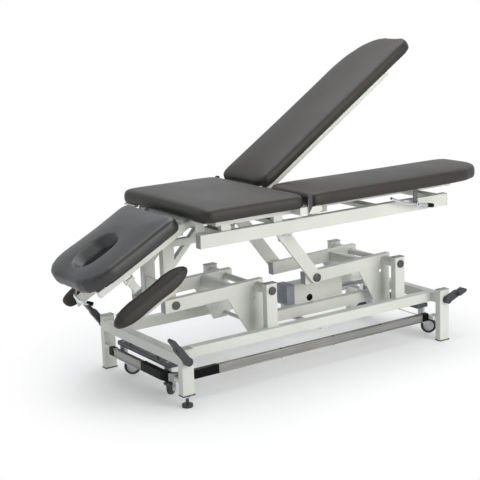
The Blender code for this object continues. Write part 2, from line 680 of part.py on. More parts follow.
def build_foot_switch(metal, rubber, root):
    slide = empty("foot_switch", (0, 0, 0), parent=root)
    low, high = SWITCH_BOTTOM, SWITCH_BOTTOM + SWITCH_HEIGHT
    half, sleeve = SWITCH_WIDTH / 2, SWITCH_WIDTH / 2 + SWITCH_SLEEVE
    near_y, head_x = -SWITCH_Y, -SWITCH_X
    near = tube("x", (SWITCH_NEAR_FROM, SWITCH_NEAR_TO), (near_y - half, near_y + half), (low, high))
    node("foot_bar_near", [near], metal, slide)
    head = tube("y", (head_x - half, head_x + half), (SWITCH_HEAD_FROM, SWITCH_HEAD_TO), (low, high))
    node("foot_bar_head", [head], metal, slide)
    centre, outer = switch_corner()
    bend_from, bend_to = 212, 248
    start_y, end_x = SWITCH_HEAD_FROM - GAP, SWITCH_NEAR_FROM - GAP
    first = [(head_x - sleeve, start_y)] + arc(centre, outer, 180, bend_from, 3)
    first += arc(centre, SWITCH_BEND - sleeve, bend_from, 180, 3) + [(head_x + sleeve, start_y)]
    node("foot_bar_corner_head", [prism(first, "z", low, high)], rubber, slide)
    last = [(end_x, near_y + sleeve)] + arc(centre, SWITCH_BEND - sleeve, 270, bend_to, 2)
    last += arc(centre, outer, bend_to, 270, 2) + [(end_x, near_y - sleeve)]
    node("foot_bar_corner_near", [prism(last, "z", low, high)], rubber, slide)
    play = math.degrees(GAP / (SWITCH_BEND - sleeve))
    link = arc(centre, outer, bend_from + play, bend_to - play, 4)
    link += arc(centre, SWITCH_BEND - half, bend_to - play, bend_from + play, 4)
    node("foot_bar_link", [prism(link, "z", low + SWITCH_SLEEVE, high - SWITCH_SLEEVE)], metal, slide)
    cap = sleeve + SWITCH_SLEEVE
    run = (SWITCH_NEAR_TO + GAP, SWITCH_NEAR_TO + GAP + SWITCH_END)
    end = tube("x", run, (near_y - cap, near_y + cap), (low, high))
    node("foot_bar_end_foot", [end], rubber, slide)
    run = (SWITCH_HEAD_TO + GAP, SWITCH_HEAD_TO + GAP + SWITCH_END)
    end = tube("y", (head_x - cap, head_x + cap), run, (low, high))
    node("foot_bar_end_head", [end], rubber, slide)


def build_lift(paint, root):
    half = ARM_HEIGHT / 2
    low = -(CRANK_DROP + GUSSET_BELOW_PIN)
    gusset = [(-GUSSET_REACH, -half + LAP), (-GUSSET_FOOT, low), (GUSSET_BEHIND - LAP, low),
              (GUSSET_BEHIND, low + LAP), (GUSSET_BEHIND, -half + LAP)]
    skin_y = ARM_OUTER - STEP
    for end, x in (("head", PIVOT_HEAD_X), ("foot", PIVOT_FOOT_X)):
        axis = empty("lift_axis_" + end, (x, 0.0, PIVOT_Z), (0, LIFT_REST, 0), root)
        pieces = []
        for across in SIDES.values():
            arm_y = (across * ARM_INNER, across * ARM_OUTER)
            pieces.append(tube("x", (-ARM_LENGTH - ARM_TIP, ARM_TAIL), arm_y, (-half, half)))
            pieces.append(prism(gusset, "y", across * (skin_y - GUSSET_THICK), across * skin_y))
            boss = ((0, across * (ARM_INNER + LAP), 0), (0, across * (POST_INNER - GAP), 0))
            pieces.append(rod(boss[0], boss[1], BOSS_RADIUS))
        reach = ARM_INNER + LAP
        cross_x = (-ARM_CROSS_AT - ARM_CROSS_WIDTH / 2, -ARM_CROSS_AT + ARM_CROSS_WIDTH / 2)
        cross_z = (-ARM_CROSS_HEIGHT / 2, ARM_CROSS_HEIGHT / 2)
        pieces.append(tube("y", cross_x, (-reach, reach), cross_z))
        reach = skin_y - GUSSET_THICK / 2
        pin = [(0, across * reach, -CRANK_DROP) for across in (-1, 1)]
        pieces.append(rod(pin[0], pin[1], CRANK_PIN_RADIUS))
        past = POST_INNER
        hole_at = (-GUSSET_FOOT * 0.4, -half - 2.2 * GUSSET_HOLE)
        cuts = [bore((0, -past, 0), (0, past, 0), SHAFT_RADIUS),
                bore((-ARM_LENGTH, -past, 0), (-ARM_LENGTH, past, 0), UPPER_SHAFT_RADIUS),
                rod((hole_at[0], -past, hole_at[1]), (hole_at[0], past, hole_at[1]), GUSSET_HOLE, 10)]
        node("lift_arm_" + end, pieces, paint, axis, cuts)
    span = PIVOT_FOOT_X - PIVOT_HEAD_X
    axis = empty("tie_axis", (PIVOT_HEAD_X + CRANK_SHIFT, 0.0, CRANK_Z), parent=root)
    tie_y = (TIE_CENTRE_Y - TIE_WIDTH / 2, TIE_CENTRE_Y + TIE_WIDTH / 2)
    bar = prism(strip((0, 0), (span, 0), TIE_HEIGHT, True, True), "y", tie_y[0], tie_y[1])
    cuts = [bore((x, tie_y[0] - LAP, 0), (x, tie_y[1] + LAP, 0), CRANK_PIN_RADIUS) for x in (0, span)]
    node("tie_bar", [bar], paint, axis, cuts)


def build_actuator(paint, chrome, root):
    carrier_top = BEAM_BOTTOM - GAP
    reach = RAIL_OUTER - LAP
    flat = block(CARRIER_X, (-reach, reach), (carrier_top - CARRIER_THICK, carrier_top))
    inset = (CARRIER_X[0] + LAP, CARRIER_X[1] - LAP)
    pedestal = tube("z", inset, (-PEDESTAL_HALF, PEDESTAL_HALF), (carrier_top - LAP, ACTUATOR_BOTTOM - GAP))
    node("actuator_carrier", [flat, pedestal], paint, root)
    section = ((-ACTUATOR_HALF, ACTUATOR_HALF), (ACTUATOR_BOTTOM, ACTUATOR_TOP))
    body = tube("x", (ACTUATOR_BACK, ACTUATOR_FRONT), section[0], section[1], 0.008)
    bore_end = ACTUATOR_FRONT - ROD_INSIDE - ROD_STROKE
    cut = bore((bore_end, 0, ROD_Z), (ACTUATOR_FRONT + LAP, 0, ROD_Z), ROD_RADIUS)
    node("actuator_housing", [body], paint, root, [cut])
    slide = empty("actuator_slide", (0, 0, 0), parent=root)
    pin_x = PIVOT_FOOT_X + CRANK_SHIFT
    slot, prong = FORK_SLOT / 2, FORK_SLOT / 2 + FORK_PRONG
    slot_floor = CRANK_Z - slot
    fork_z = (slot_floor - FORK_PRONG, FORK_TOP)
    fork = tube("y", (pin_x - prong, pin_x + prong), (-FORK_HALF, FORK_HALF), fork_z)
    plunger = rod((ACTUATOR_FRONT - ROD_INSIDE, 0, ROD_Z), (pin_x - prong + LAP, 0, ROD_Z), ROD_RADIUS)
    past = FORK_HALF + LAP
    cut = block((pin_x - slot, pin_x + slot), (-past, past), (slot_floor, FORK_TOP + LAP))
    node("actuator_rod", [plunger, fork], chrome, slide, [cut])


def stay_lug(lower, root_point, y, across):
    """Plate with a pin for a stay's lower eye, reaching back to the member that holds it."""
    start = across * (y + STAY_EYE_HALF + STAY_LUG_GAP)
    plate = prism(strip(lower, root_point, 2 * STAY_EYE, True, False), "y", start, start + across * STAY_LUG)
    pin_from = across * (y - STAY_EYE_HALF)
    pin = rod((lower[0], pin_from, lower[1]), (lower[0], start + across * STAY_LUG / 2, lower[1]), STAY_PIN)
    return [plate, pin]


def build_top_frame(paint, steel, root):
    origin = (FREE_HEAD[0], 0.0, FREE_HEAD[1])
    axis = empty("top_axis", origin, parent=root)
    head_cross, seat_cross = CROSS_AT[0], SEAT_CROSS
    strut_outer = STRUT_INNER + STRUT_WIDTH
    diagonal_y = ARM_OUTER + 10 * GAP
    pieces = []
    for x in (*CROSS_AT, seat_cross):
        edges = (x - CROSS_WIDTH / 2, x + CROSS_WIDTH / 2)
        reach = TOP_RAIL_INNER + LAP
        pieces.append(tube("y", edges, (-reach, reach), (CROSS_BOTTOM, TOP_RAIL_TOP - STEP), 0.003))
    for across in SIDES.values():
        rail_y = (across * TOP_RAIL_INNER, across * TOP_RAIL_OUTER)
        run = (TOP_RAIL_HEAD, TOP_RAIL_FOOT)
        pieces.append(tube("x", run, rail_y, (TOP_RAIL_BOTTOM, TOP_RAIL_TOP)))
        strut_x = (FREE_HEAD[0] - STRUT_ALONG / 2, FREE_HEAD[0] + STRUT_ALONG / 2)
        strut_y = (across * STRUT_INNER, across * strut_outer)
        pieces.append(tube("z", strut_x, strut_y, (FREE_HEAD[1] - STRUT_BELOW, STRUT_TOP)))
        link_y = (across * (STRUT_INNER + LAP), across * (strut_outer - LAP))
        link_z = (STRUT_TOP - LINK_HEIGHT - LAP, STRUT_TOP - LAP)
        pieces.append(block((FREE_HEAD[0], head_cross + BRACE / 2), link_y, link_z))
        stem_y = (link_y[0] + across * STEP, link_y[1] - across * STEP)
        stem_x = (head_cross - BRACE / 2, head_cross + BRACE / 2 - STEP)
        pieces.append(block(stem_x, stem_y, (link_z[0] + LAP, CROSS_BOTTOM + LAP)))
        brace_y = (link_y[0] + 2 * across * STEP, link_y[1] - 2 * across * STEP)
        foot = (FREE_HEAD[0] + STRUT_ALONG / 4, BRACE_FROM_Z)
        brace = strip(foot, (head_cross - BRACE / 2, CROSS_BOTTOM + 2 * LAP), BRACE)
        pieces.append(prism(brace, "y", brace_y[0], brace_y[1]))
        outer_y = across * (diagonal_y + DIAGONAL_THICK)
        pieces.append(prism(diagonal_outline(), "y", across * diagonal_y, outer_y))
        pin_y = (across * ARM_INNER, outer_y - across * STEP)
        cap_y = (outer_y - across * LAP, outer_y + across * SHAFT_HEAD)
        for ends, radius in ((pin_y, UPPER_SHAFT_RADIUS), (cap_y, SHAFT_HEAD_RADIUS)):
            pin = [(FREE_FOOT[0], y, FREE_FOOT[1]) for y in ends]
            pieces.append(rod(pin[0], pin[1], radius))
        pieces += head_hinge_plate(across)
        lower = stay_frame((LEG_HINGE_X, LEG_HINGE_Z), LEG_STAY_RADIUS, LEG_STAY_LOW, LEG_STAY_HIGH)[0]
        pieces += stay_lug(lower, (seat_cross, CROSS_BOTTOM + LAP), LEG_STAY_Y, across)
    lower = stay_frame((HEAD_HINGE_X, HEAD_HINGE_Z), HEAD_STAY_RADIUS, HEAD_STAY_LOW, HEAD_STAY_HIGH)[0]
    pieces += stay_lug(lower, (head_cross, CROSS_BOTTOM + 2 * LAP), HEAD_STAY_Y, 1)
    plate_x = (FREE_HEAD[0] - STRUT_ALONG / 4, FREE_HEAD[0] - STRUT_ALONG / 4 - GUSSET_THICK)
    reach = STRUT_INNER + LAP
    plate_z = (FREE_HEAD[1] + STRUT_BELOW, FREE_HEAD[1] + STRUT_BELOW + STRUT_ALONG)
    pieces.append(block(plate_x, (-reach, reach), plate_z))
    x, z = FREE_HEAD
    past = strut_outer + LAP
    node("top_frame", pieces, paint, axis, [bore((x, -past, z), (x, past, z), UPPER_SHAFT_RADIUS)], origin)
    reach = ARM_OUTER + GAP
    half = reach + SHAFT_HEAD / 2
    pieces = [rod((x, -half, z), (x, half, z), UPPER_SHAFT_RADIUS)]
    for across in SIDES.values():
        ends = [(x, across * y, z) for y in (reach, reach + SHAFT_HEAD)]
        pieces.append(rod(ends[0], ends[1], SHAFT_HEAD_RADIUS))
    node("upper_pivot", pieces, steel, axis, (), origin)
    return axis


def diagonal_outline():
    """Flat bar from the foot arms' pivot up to the seat cross member, cut level at its top."""
    half = DIAGONAL_WIDTH / 2
    top = TOP_RAIL_TOP - 2 * STEP
    slope = math.degrees(DIAGONAL_SLOPE)
    points = arc(FREE_FOOT, half, 90 - slope - 180, 90 - slope, 8)
    ends = []
    for point in (points[-1], points[0]):
        rise = top - point[1]
        ends.append((point[0] - rise / math.tan(DIAGONAL_SLOPE), top))
    return points + ends


def head_hinge_plate(across):
    """Upright plate with a stub pin, held on the top rail by a foot."""
    inner, outer = HINGE_PLATE_INNER, HINGE_PLATE_INNER + HINGE_PLATE
    low = TOP_RAIL_TOP - HINGE_PLATE_RADIUS
    outline = [(HEAD_HINGE_X - HINGE_PLATE_RADIUS, low), (HEAD_HINGE_X + HINGE_PLATE_RADIUS, low)]
    outline += arc((HEAD_HINGE_X, HEAD_HINGE_Z), HINGE_PLATE_RADIUS, 0, 180, 8)
    plate = prism(outline, "y", across * inner, across * outer)
    foot_x = (HEAD_HINGE_X - HINGE_PLATE_RADIUS + LAP, HEAD_HINGE_X + HINGE_PLATE_RADIUS - LAP)
    foot_y = (across * (inner + LAP), across * (TOP_RAIL_INNER + LAP))
    foot = block(foot_x, foot_y, (low + LAP, TOP_RAIL_TOP - LAP))
    pin_ends = [(HEAD_HINGE_X, across * y, HEAD_HINGE_Z) for y in (HEAD_TUBE_INNER + HEAD_TUBE, inner + LAP)]
    return [plate, foot, rod(pin_ends[0], pin_ends[1], HEAD_PIN)]


def leaf_outline(hinge, eye, foot, low, high):
    """Hinge leaf: round eye on the axis, upright below it and a foot at frame height."""
    toe = hinge[0] + foot
    heel = hinge[0] - math.copysign(eye, foot)
    shin = hinge[0] + math.copysign(eye, foot)
    points = arc(hinge, eye, 0, 180, 8)
    if foot > 0:
        points.reverse()
    return points + [(shin, high), (toe, high), (toe, low), (heel, low)]


def build_seat(paint, vinyl, top):
    origin = (FREE_HEAD[0], 0.0, FREE_HEAD[1])
    frame_z = (FRAME_BOTTOM, FRAME_TOP)
    hinge = (LEG_HINGE_X, LEG_HINGE_Z)
    foot_bar = (LEG_HINGE_X - LEAF_FOOT, LEG_HINGE_X - LEAF_FOOT + FRAME_TUBE)
    tube_y = (TOP_RAIL_INNER, TOP_RAIL_INNER + FRAME_TUBE)
    leaf_reach = LEAF_INNER + HINGE_LEAF / 2
    leaf = leaf_outline(hinge, HINGE_EYE, STEP - LEAF_FOOT, FRAME_BOTTOM + STEP, FRAME_TOP - STEP)
    lug = leaf_outline(hinge, LUG_HALF, LAP - LEAF_FOOT, FRAME_BOTTOM + LAP, FRAME_TOP - LAP)
    pieces = [tube("y", foot_bar, (-leaf_reach, leaf_reach), frame_z, steps=1)]
    head_bar = (SEAT_BAR_HEAD, SEAT_BAR_HEAD + FRAME_TUBE)
    pieces.append(tube("y", head_bar, (-tube_y[0] - LAP, tube_y[0] + LAP), frame_z, steps=1))
    pieces.append(prism(lug, "y", -LUG_HALF, LUG_HALF))
    lug_reach = LEG_SPLIT - 2 * GAP
    pieces.append(rod((hinge[0], -lug_reach, hinge[1]), (hinge[0], lug_reach, hinge[1]), LUG_PIN, 10))
    for across in SIDES.values():
        side_z = (FRAME_BOTTOM + STEP, FRAME_TOP - STEP)
        side_x = (head_bar[0] + STEP, foot_bar[0] + LAP)
        pieces.append(tube("x", side_x, (across * tube_y[0], across * tube_y[1]), side_z, steps=1))
        for x in SEAT_SPACERS:
            spacer_x = (x - SPACER / 2, x + SPACER / 2)
            spacer_y = (across * (tube_y[0] + LAP), across * (tube_y[1] - LAP))
            pieces.append(block(spacer_x, spacer_y, (TOP_RAIL_TOP + GAP, FRAME_BOTTOM + 2 * LAP)))
        pieces.append(prism(leaf, "y", across * LEAF_INNER, across * (LEAF_INNER + HINGE_LEAF)))
        pin = [(hinge[0], across * y, hinge[1]) for y in (leaf_reach, LEAF_INNER + 2 * HINGE_LEAF + 3 * GAP)]
        pieces.append(rod(pin[0], pin[1], HINGE_PIN))
    node("seat_frame", pieces, paint, top, (), origin)
    corners = [SEAT_CORNER] * 4
    pad_y = (-CUSHION_HALF, CUSHION_HALF)
    pad = cushion((SEAT_HEAD, SEAT_FOOT), pad_y, CUSHION_BOTTOM, CUSHION_THICK, corners)
    node("seat_cushion", [pad], vinyl, top, (), origin)


def sided(across, low, high):
    """A span across the couch on one side, low end first."""
    return (low, high) if across > 0 else (-high, -low)


def build_leg(side, across, paint, vinyl, chrome, top):
    place = (LEG_HINGE_X - FREE_HEAD[0], 0.0, LEG_HINGE_Z - FREE_HEAD[1])
    hinge = empty("leg_axis_" + side, place, (0, -LEG_REST[side], 0), top)
    low, high = FRAME_BOTTOM - LEG_HINGE_Z, FRAME_TOP - LEG_HINGE_Z
    inner_leaf = (LUG_HALF + GAP, LEG_SPLIT - GAP - STEP)
    outer_leaf = (LEAF_INNER + HINGE_LEAF + GAP, LEAF_INNER + 2 * HINGE_LEAF + GAP)
    bar_y = (sum(inner_leaf) / 2, sum(outer_leaf) / 2)
    tube_end = LEG_TUBES[1] + FRAME_TUBE
    pieces = []
    short_bar = (LEG_TUBES[0] + LAP, tube_end - LAP)
    for x, rise, span in zip(LEG_BAR_AT, LEG_BAR_RISE, (bar_y, short_bar, short_bar)):
        pieces.append(tube("y", (x, x + FRAME_TUBE), sided(across, *span), (low + rise, high), steps=1))
    run = (LEG_BAR_AT[0] + STEP, LEG_FRAME_LENGTH)
    for y in LEG_TUBES:
        pieces.append(tube("x", run, sided(across, y, y + FRAME_TUBE), (low + STEP, high - STEP), steps=1))
    toe = LEG_BAR_AT[0] + FRAME_TUBE / 2
    outer = leaf_outline((0, 0), HINGE_EYE, toe, low + LAP, high - LAP)
    pieces.append(prism(outer, "y", across * outer_leaf[0], across * outer_leaf[1]))
    inner = leaf_outline((0, 0), LUG_HALF, toe, low + LAP, high - LAP)
    pieces.append(prism(inner, "y", across * inner_leaf[0], across * inner_leaf[1]))
    eye = (LEG_STAY_RADIUS * math.cos(LEG_STAY_HIGH), LEG_STAY_RADIUS * math.sin(LEG_STAY_HIGH))
    lug_x = (eye[0] - 1.8 * STAY_EYE, LEG_BAR_AT[1] + LAP)
    pieces += stay_cheeks(eye, lug_x, high - LAP, LEG_STAY_Y, across)
    hub = LEG_LEVER_PATH[2]
    lug_to = LEG_LEVER_Y - LEVER_HUB_HALF - 5 * GAP
    lug_y = sided(across, lug_to - LEVER_LUG, lug_to)
    strap = strip(hub, (hub[0], low + FRAME_TUBE / 2), 2 * LEVER_HUB, True, False)
    pieces.append(prism(strap, "y", lug_y[0], lug_y[1]))
    arm_x = (hub[0] - FRAME_TUBE / 2, hub[0] + FRAME_TUBE / 2)
    arm_y = sided(across, tube_end - LAP, lug_to - LAP)
    pieces.append(tube("y", arm_x, arm_y, (low + 2 * STEP, high - 2 * STEP), steps=1))
    pin_y = (across * (lug_to - LEVER_LUG / 2), across * (LEG_LEVER_Y + LEVER_HUB_HALF))
    pieces.append(rod((hub[0], pin_y[0], hub[1]), (hub[0], pin_y[1], hub[1]), LEVER_PIN))
    cuts = [bore((0, across * (outer_leaf[0] - LAP), 0), (0, across * (outer_leaf[1] + LAP), 0), HINGE_PIN),
            bore((0, 0, 0), (0, across * (inner_leaf[1] + LAP), 0), LUG_PIN, 10)]
    node("leg_frame_" + side, pieces, paint, hinge, cuts)
    corners = [LEG_OUTER_CORNER, LEG_INNER_CORNER, LEG_INNER_CORNER, SEAT_CORNER]
    if across > 0:
        corners = [LEG_INNER_CORNER, LEG_OUTER_CORNER, SEAT_CORNER, LEG_INNER_CORNER]
    pad = cushion((LEG_START, LEG_LENGTH), sided(across, LEG_SPLIT, CUSHION_HALF),
                  CUSHION_BOTTOM - LEG_HINGE_Z, CUSHION_THICK, corners)
    node("leg_cushion_" + side, [pad], vinyl, hinge)
    pivot = empty("leg_lever_axis_" + side, (hub[0], across * LEG_LEVER_Y, hub[1]), parent=hinge)
    path = [(x - hub[0], 0.0, z - hub[1]) for x, z in LEG_LEVER_PATH]
    build_lever("leg_lever_" + side, path, chrome, pivot)


def stay_cheeks(eye, x, top, y, across):
    """Two plates beside a stay's upper eye."""
    start = STAY_EYE_HALF + STAY_LUG_GAP
    cheeks = []
    for way in (-1, 1):
        span = (across * y + way * start, across * y + way * (start + STAY_LUG))
        cheeks.append(block(x, span, (eye[1] - 1.5 * STAY_EYE, top)))
    return cheeks


def build_lever(name, path, chrome, pivot):
    hub = rod((0, -LEVER_HUB_HALF, 0), (0, LEVER_HUB_HALF, 0), LEVER_HUB)
    past = LEVER_HUB_HALF + LAP
    cut = bore((0, -past, 0), (0, past, 0), LEVER_PIN)
    node(name, [hub, bent_rod(path, LEVER_RADIUS)], chrome, pivot, [cut])


def face_cutter():
    """Face opening: a narrow slot below that flares to a wide oval rim."""
    top = HEAD_CUSHION_BOTTOM + HEAD_CUSHION_THICK
    rings = []
    middle = HEAD_CUSHION_BOTTOM + 0.5 * HEAD_CUSHION_THICK
    for share, level in ((0.0, HEAD_CUSHION_BOTTOM - LAP), (0.0, middle),
                         (0.55, top - 0.008), (1.0, top + CUSHION_CROWN + LAP)):
        along, across = [s + share * (r - s) for r, s in zip(FACE_RIM, FACE_SLOT)]
        low, high = (-FACE_AT - along / 2, -across / 2), (-FACE_AT + along / 2, across / 2)
        outline = rounded(low, high, across / 2 - LAP, 5)
        rings.append([(x, y, level) for x, y in outline])
    return skin(rings)


def build_head(paint, vinyl, chrome, top):
    place = (HEAD_HINGE_X - FREE_HEAD[0], 0.0, HEAD_HINGE_Z - FREE_HEAD[1])
    hinge = empty("head_axis", place, (0, HEAD_REST, 0), top)
    half = HEAD_TUBE / 2
    outer = HEAD_TUBE_INNER + HEAD_TUBE
    reach = HINGE_PLATE_INNER - GAP
    pieces = [rod((0, -reach, 0), (0, reach, 0), HEAD_HINGE_TUBE)]
    for u in HEAD_BARS:
        bar_z = (STEP - half, half - STEP)
        pieces.append(tube("y", (-u - half, -u + half), (LAP - outer, outer - LAP), bar_z, 0.003))
    cuts = []
    for across in SIDES.values():
        pieces.append(tube("x", (-HEAD_FRAME_END, 0), sided(across, HEAD_TUBE_INNER, outer), (-half, half)))
        pieces += armrest_lugs(across, half)
        cuts.append(bore((0, across * outer - across * LAP, 0), (0, across * (reach + LAP), 0), HEAD_PIN))
    angle = HEAD_STAY_HIGH + HEAD_REST
    eye = (HEAD_STAY_RADIUS * math.cos(angle), HEAD_STAY_RADIUS * math.sin(angle))
    cheek_x = (eye[0] - 1.5 * STAY_EYE, eye[0] + 1.5 * STAY_EYE)
    pieces += stay_cheeks(eye, cheek_x, LAP - half, HEAD_STAY_Y, 1)
    hub_u, hub_y, hub_n = HEAD_LEVER_PATH[0]
    for way in (-1, 1):
        start = hub_y + way * (LEVER_HUB_HALF + 5 * GAP)
        strap = strip((-hub_u, hub_n), (-HEAD_BARS[1], 0.0), 2 * LEVER_HUB, True, False)
        pieces.append(prism(strap, "y", start, start + way * LEVER_LUG))
    pin_half = LEVER_HUB_HALF + 5 * GAP + LEVER_LUG / 2
    pieces.append(rod((-hub_u, hub_y - pin_half, hub_n), (-hub_u, hub_y + pin_half, hub_n), LEVER_PIN))
    node("head_frame", pieces, paint, hinge, cuts)
    corners = [SEAT_CORNER, SEAT_CORNER, HEAD_CORNER, HEAD_CORNER]
    pad = cushion((-HEAD_END, -HEAD_START), (-HEAD_HALF, HEAD_HALF), HEAD_CUSHION_BOTTOM,
                  HEAD_CUSHION_THICK, corners)
    node("head_cushion", [pad], vinyl, hinge, [face_cutter()])
    pivot = empty("head_lever_axis", (-hub_u, hub_y, hub_n), parent=hinge)
    path = [(hub_u - u, y - hub_y, n - hub_n) for u, y, n in HEAD_LEVER_PATH]
    build_lever("head_lever", path, chrome, pivot)
    return hinge


def armrest_lugs(across, half):
    """Two plates below the head frame tube with the armrest's hinge pin between them."""
    y = across * ARM_AXIS_Y
    outline = strip((y, ARM_AXIS_N), (y, LAP - half), 2 * ARM_HUB - 2 * LAP, True, False)
    edge = ARM_BAR_WIDTH / 2 + GAP
    parts = []
    for way in (-1, 1):
        start = -ARM_BAR_AT + way * edge
        ends = sorted((start, start + way * LEVER_LUG))
        parts.append(prism(outline, "x", ends[0], ends[1]))
    pin = [(-ARM_BAR_AT + way * (edge + LAP), y, ARM_AXIS_N) for way in (-1, 1)]
    return parts + [rod(pin[0], pin[1], ARM_PIN)]


def build_armrest(side, across, paint, vinyl, head):
    place = (0.0, across * ARM_AXIS_Y, ARM_AXIS_N)
    hinge = empty("armrest_axis_" + side, place, (-across * ARM_ROLL, 0, 0), head)
    half = ARM_BAR_WIDTH / 2
    hub = rod((-ARM_BAR_AT - half, 0, 0), (-ARM_BAR_AT + half, 0, 0), ARM_HUB)
    thick = 0.6 * ARM_HUB
    knee = PAD_OUT - 2 * ARM_PIN
    inset = (-ARM_BAR_AT - half + STEP, -ARM_BAR_AT + half - STEP)
    arm = block(inset, sided(across, 0.0, knee - LAP), (-thick, thick))
    inset = (inset[0] + STEP, inset[1] - STEP)
    plate_top = -PAD_THICK / 2 - GAP
    drop = block(inset, sided(across, knee - 2 * thick, knee), (plate_top - PAD_PLATE + STEP, thick - STEP))
    margin = PAD_WIDTH / 2 + LAP
    plate_x = (-(PAD_FROM + PAD_LENGTH - margin), -(PAD_FROM + margin))
    plate_y = sided(across, PAD_OUT + 3 * LAP, PAD_OUT + PAD_WIDTH - 3 * LAP)
    plate = block(plate_x, plate_y, (plate_top - PAD_PLATE, plate_top))
    tongue_x = (inset[0] + STEP, inset[1] - STEP)
    tongue_y = sided(across, knee - 2 * thick + LAP, PAD_OUT + 5 * LAP)
    tongue = block(tongue_x, tongue_y, (plate_top - PAD_PLATE + 2 * STEP, plate_top - STEP))
    cut = bore((inset[0] - half, 0, 0), (inset[1] + half, 0, 0), ARM_PIN)
    node("armrest_bracket_" + side, [hub, arm, drop, tongue, plate], paint, hinge, [cut])
    pad_x = (-(PAD_FROM + PAD_LENGTH), -PAD_FROM)
    pad_y = sided(across, PAD_OUT, PAD_OUT + PAD_WIDTH)
    pad = cushion(pad_x, pad_y, -PAD_THICK / 2, PAD_THICK, [PAD_CORNER] * 4)
    node("armrest_cushion_" + side, [pad], vinyl, hinge)


def build_stay(name, hinge, sizes, directions, y, slack, steel, chrome, top):
    """Barrel on a pin at the lower eye and a rod that slides in it up to the upper eye."""
    radius, neck, barrel, rod_length = sizes
    lower, upper, slope = stay_frame(hinge, radius, directions[0], directions[1])
    place = (lower[0] - FREE_HEAD[0], y, lower[1] - FREE_HEAD[1])
    axis = empty(name + "_axis", place, (0, -slope, 0), top)
    eye_ends = [(0, way * STAY_EYE_HALF, 0) for way in (-1, 1)]
    pieces = [rod(eye_ends[0], eye_ends[1], STAY_EYE), rod((0, 0, 0), (neck + LAP, 0, 0), STAY_ROD),
              rod((neck, 0, 0), (barrel, 0, 0), STAY_RADIUS)]
    past = STAY_EYE_HALF + LAP
    cuts = [bore((0, -past, 0), (0, past, 0), STAY_PIN),
            bore((neck + 2 * LAP, 0, 0), (barrel + LAP, 0, 0), STAY_ROD)]
    node(name + "_barrel", pieces, steel, axis, cuts)
    length = math.dist(lower, upper) + slack
    eye_ends = [(length, way * STAY_EYE_HALF, 0) for way in (-1, 1)]
    pieces = [rod((length - rod_length, 0, 0), (length - STAY_EYE / 2, 0, 0), STAY_ROD),
              rod(eye_ends[0], eye_ends[1], STAY_EYE)]
    node(name + "_rod", pieces, chrome, axis)


def centre_couch(root):
    """Put the middle of the couch's outline over the origin and its lowest point on the floor."""
    bpy.context.view_layer.update()
    corners = [obj.matrix_world @ vert.co for obj in NODES for vert in obj.data.vertices]
    low = [min(corner[i] for corner in corners) for i in range(3)]
    high = [max(corner[i] for corner in corners) for i in range(3)]
    root.location = (-(low[0] + high[0]) / 2, -(low[1] + high[1]) / 2, -low[2])
    bpy.context.view_layer.update()


def main():
    clear_scene()
    paint = finish("frame_paint", (0.74, 0.74, 0.70), 0.42)
    vinyl = finish("cushion_vinyl", (0.070, 0.070, 0.076), 0.55)
    dark = finish("dark_plastic", (0.075, 0.08, 0.085), 0.5)
    grey = finish("grey_paint", (0.20, 0.21, 0.22), 0.5)
    steel = finish("zinc_steel", (0.55, 0.56, 0.57), 0.35, 1.0)
    chrome = finish("chrome", (0.80, 0.80, 0.81), 0.12, 1.0)
    metal = finish("aluminium", (0.62, 0.62, 0.61), 0.38, 1.0)
    rubber = finish("black_rubber", (0.02, 0.02, 0.02), 0.7)
    tread = finish("castor_tread", (0.09, 0.09, 0.10), 0.6)
    root = empty("couch", (0, 0, 0))
    build_base(paint, dark, steel, root)
    build_castors(dark, grey, steel, tread, root)
    build_foot_switch(metal, rubber, root)
    build_lift(paint, root)
    build_actuator(paint, chrome, root)
    top = build_top_frame(paint, steel, root)
    build_seat(paint, vinyl, top)
    head = build_head(paint, vinyl, chrome, top)
    sizes = (LEG_STAY_RADIUS, LEG_STAY_NECK, LEG_STAY_BARREL, LEG_STAY_ROD)
    for side, across in SIDES.items():
        build_leg(side, across, paint, vinyl, chrome, top)
        build_armrest(side, across, paint, vinyl, head)
        directions = (LEG_STAY_LOW, LEG_STAY_HIGH + LEG_REST[side])
        reach = 2 * LEG_STAY_RADIUS * math.sin((LEG_STAY_SPREAD + LEG_REST[side]) / 2)
        slack = LEG_STAY_SLACK + LEG_STAY_RATE * LEG_REST[side] - (reach - LEG_STAY_SHORT)
        build_stay("leg_stay_" + side, (LEG_HINGE_X, LEG_HINGE_Z), sizes, directions,
                   across * LEG_STAY_Y, slack, steel, chrome, top)
    sizes = (HEAD_STAY_RADIUS, HEAD_STAY_NECK, HEAD_STAY_BARREL, HEAD_STAY_ROD)
    build_stay("head_stay", (HEAD_HINGE_X, HEAD_HINGE_Z), sizes, (HEAD_STAY_LOW, HEAD_STAY_HIGH),
               HEAD_STAY_Y, 0.0, steel, chrome, top)
    centre_couch(root)


main()
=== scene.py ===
# %% [markdown]
# This lesson dresses an electric treatment couch. The frame arrives as imported solids that already move, so
# nothing here is fitted by eye: every new piece takes its place from a solid's box or from a joint's position.

# %% Load the frame
import json
import math

import bmesh
import bpy
import numpy as np
from mathutils import Matrix, Vector


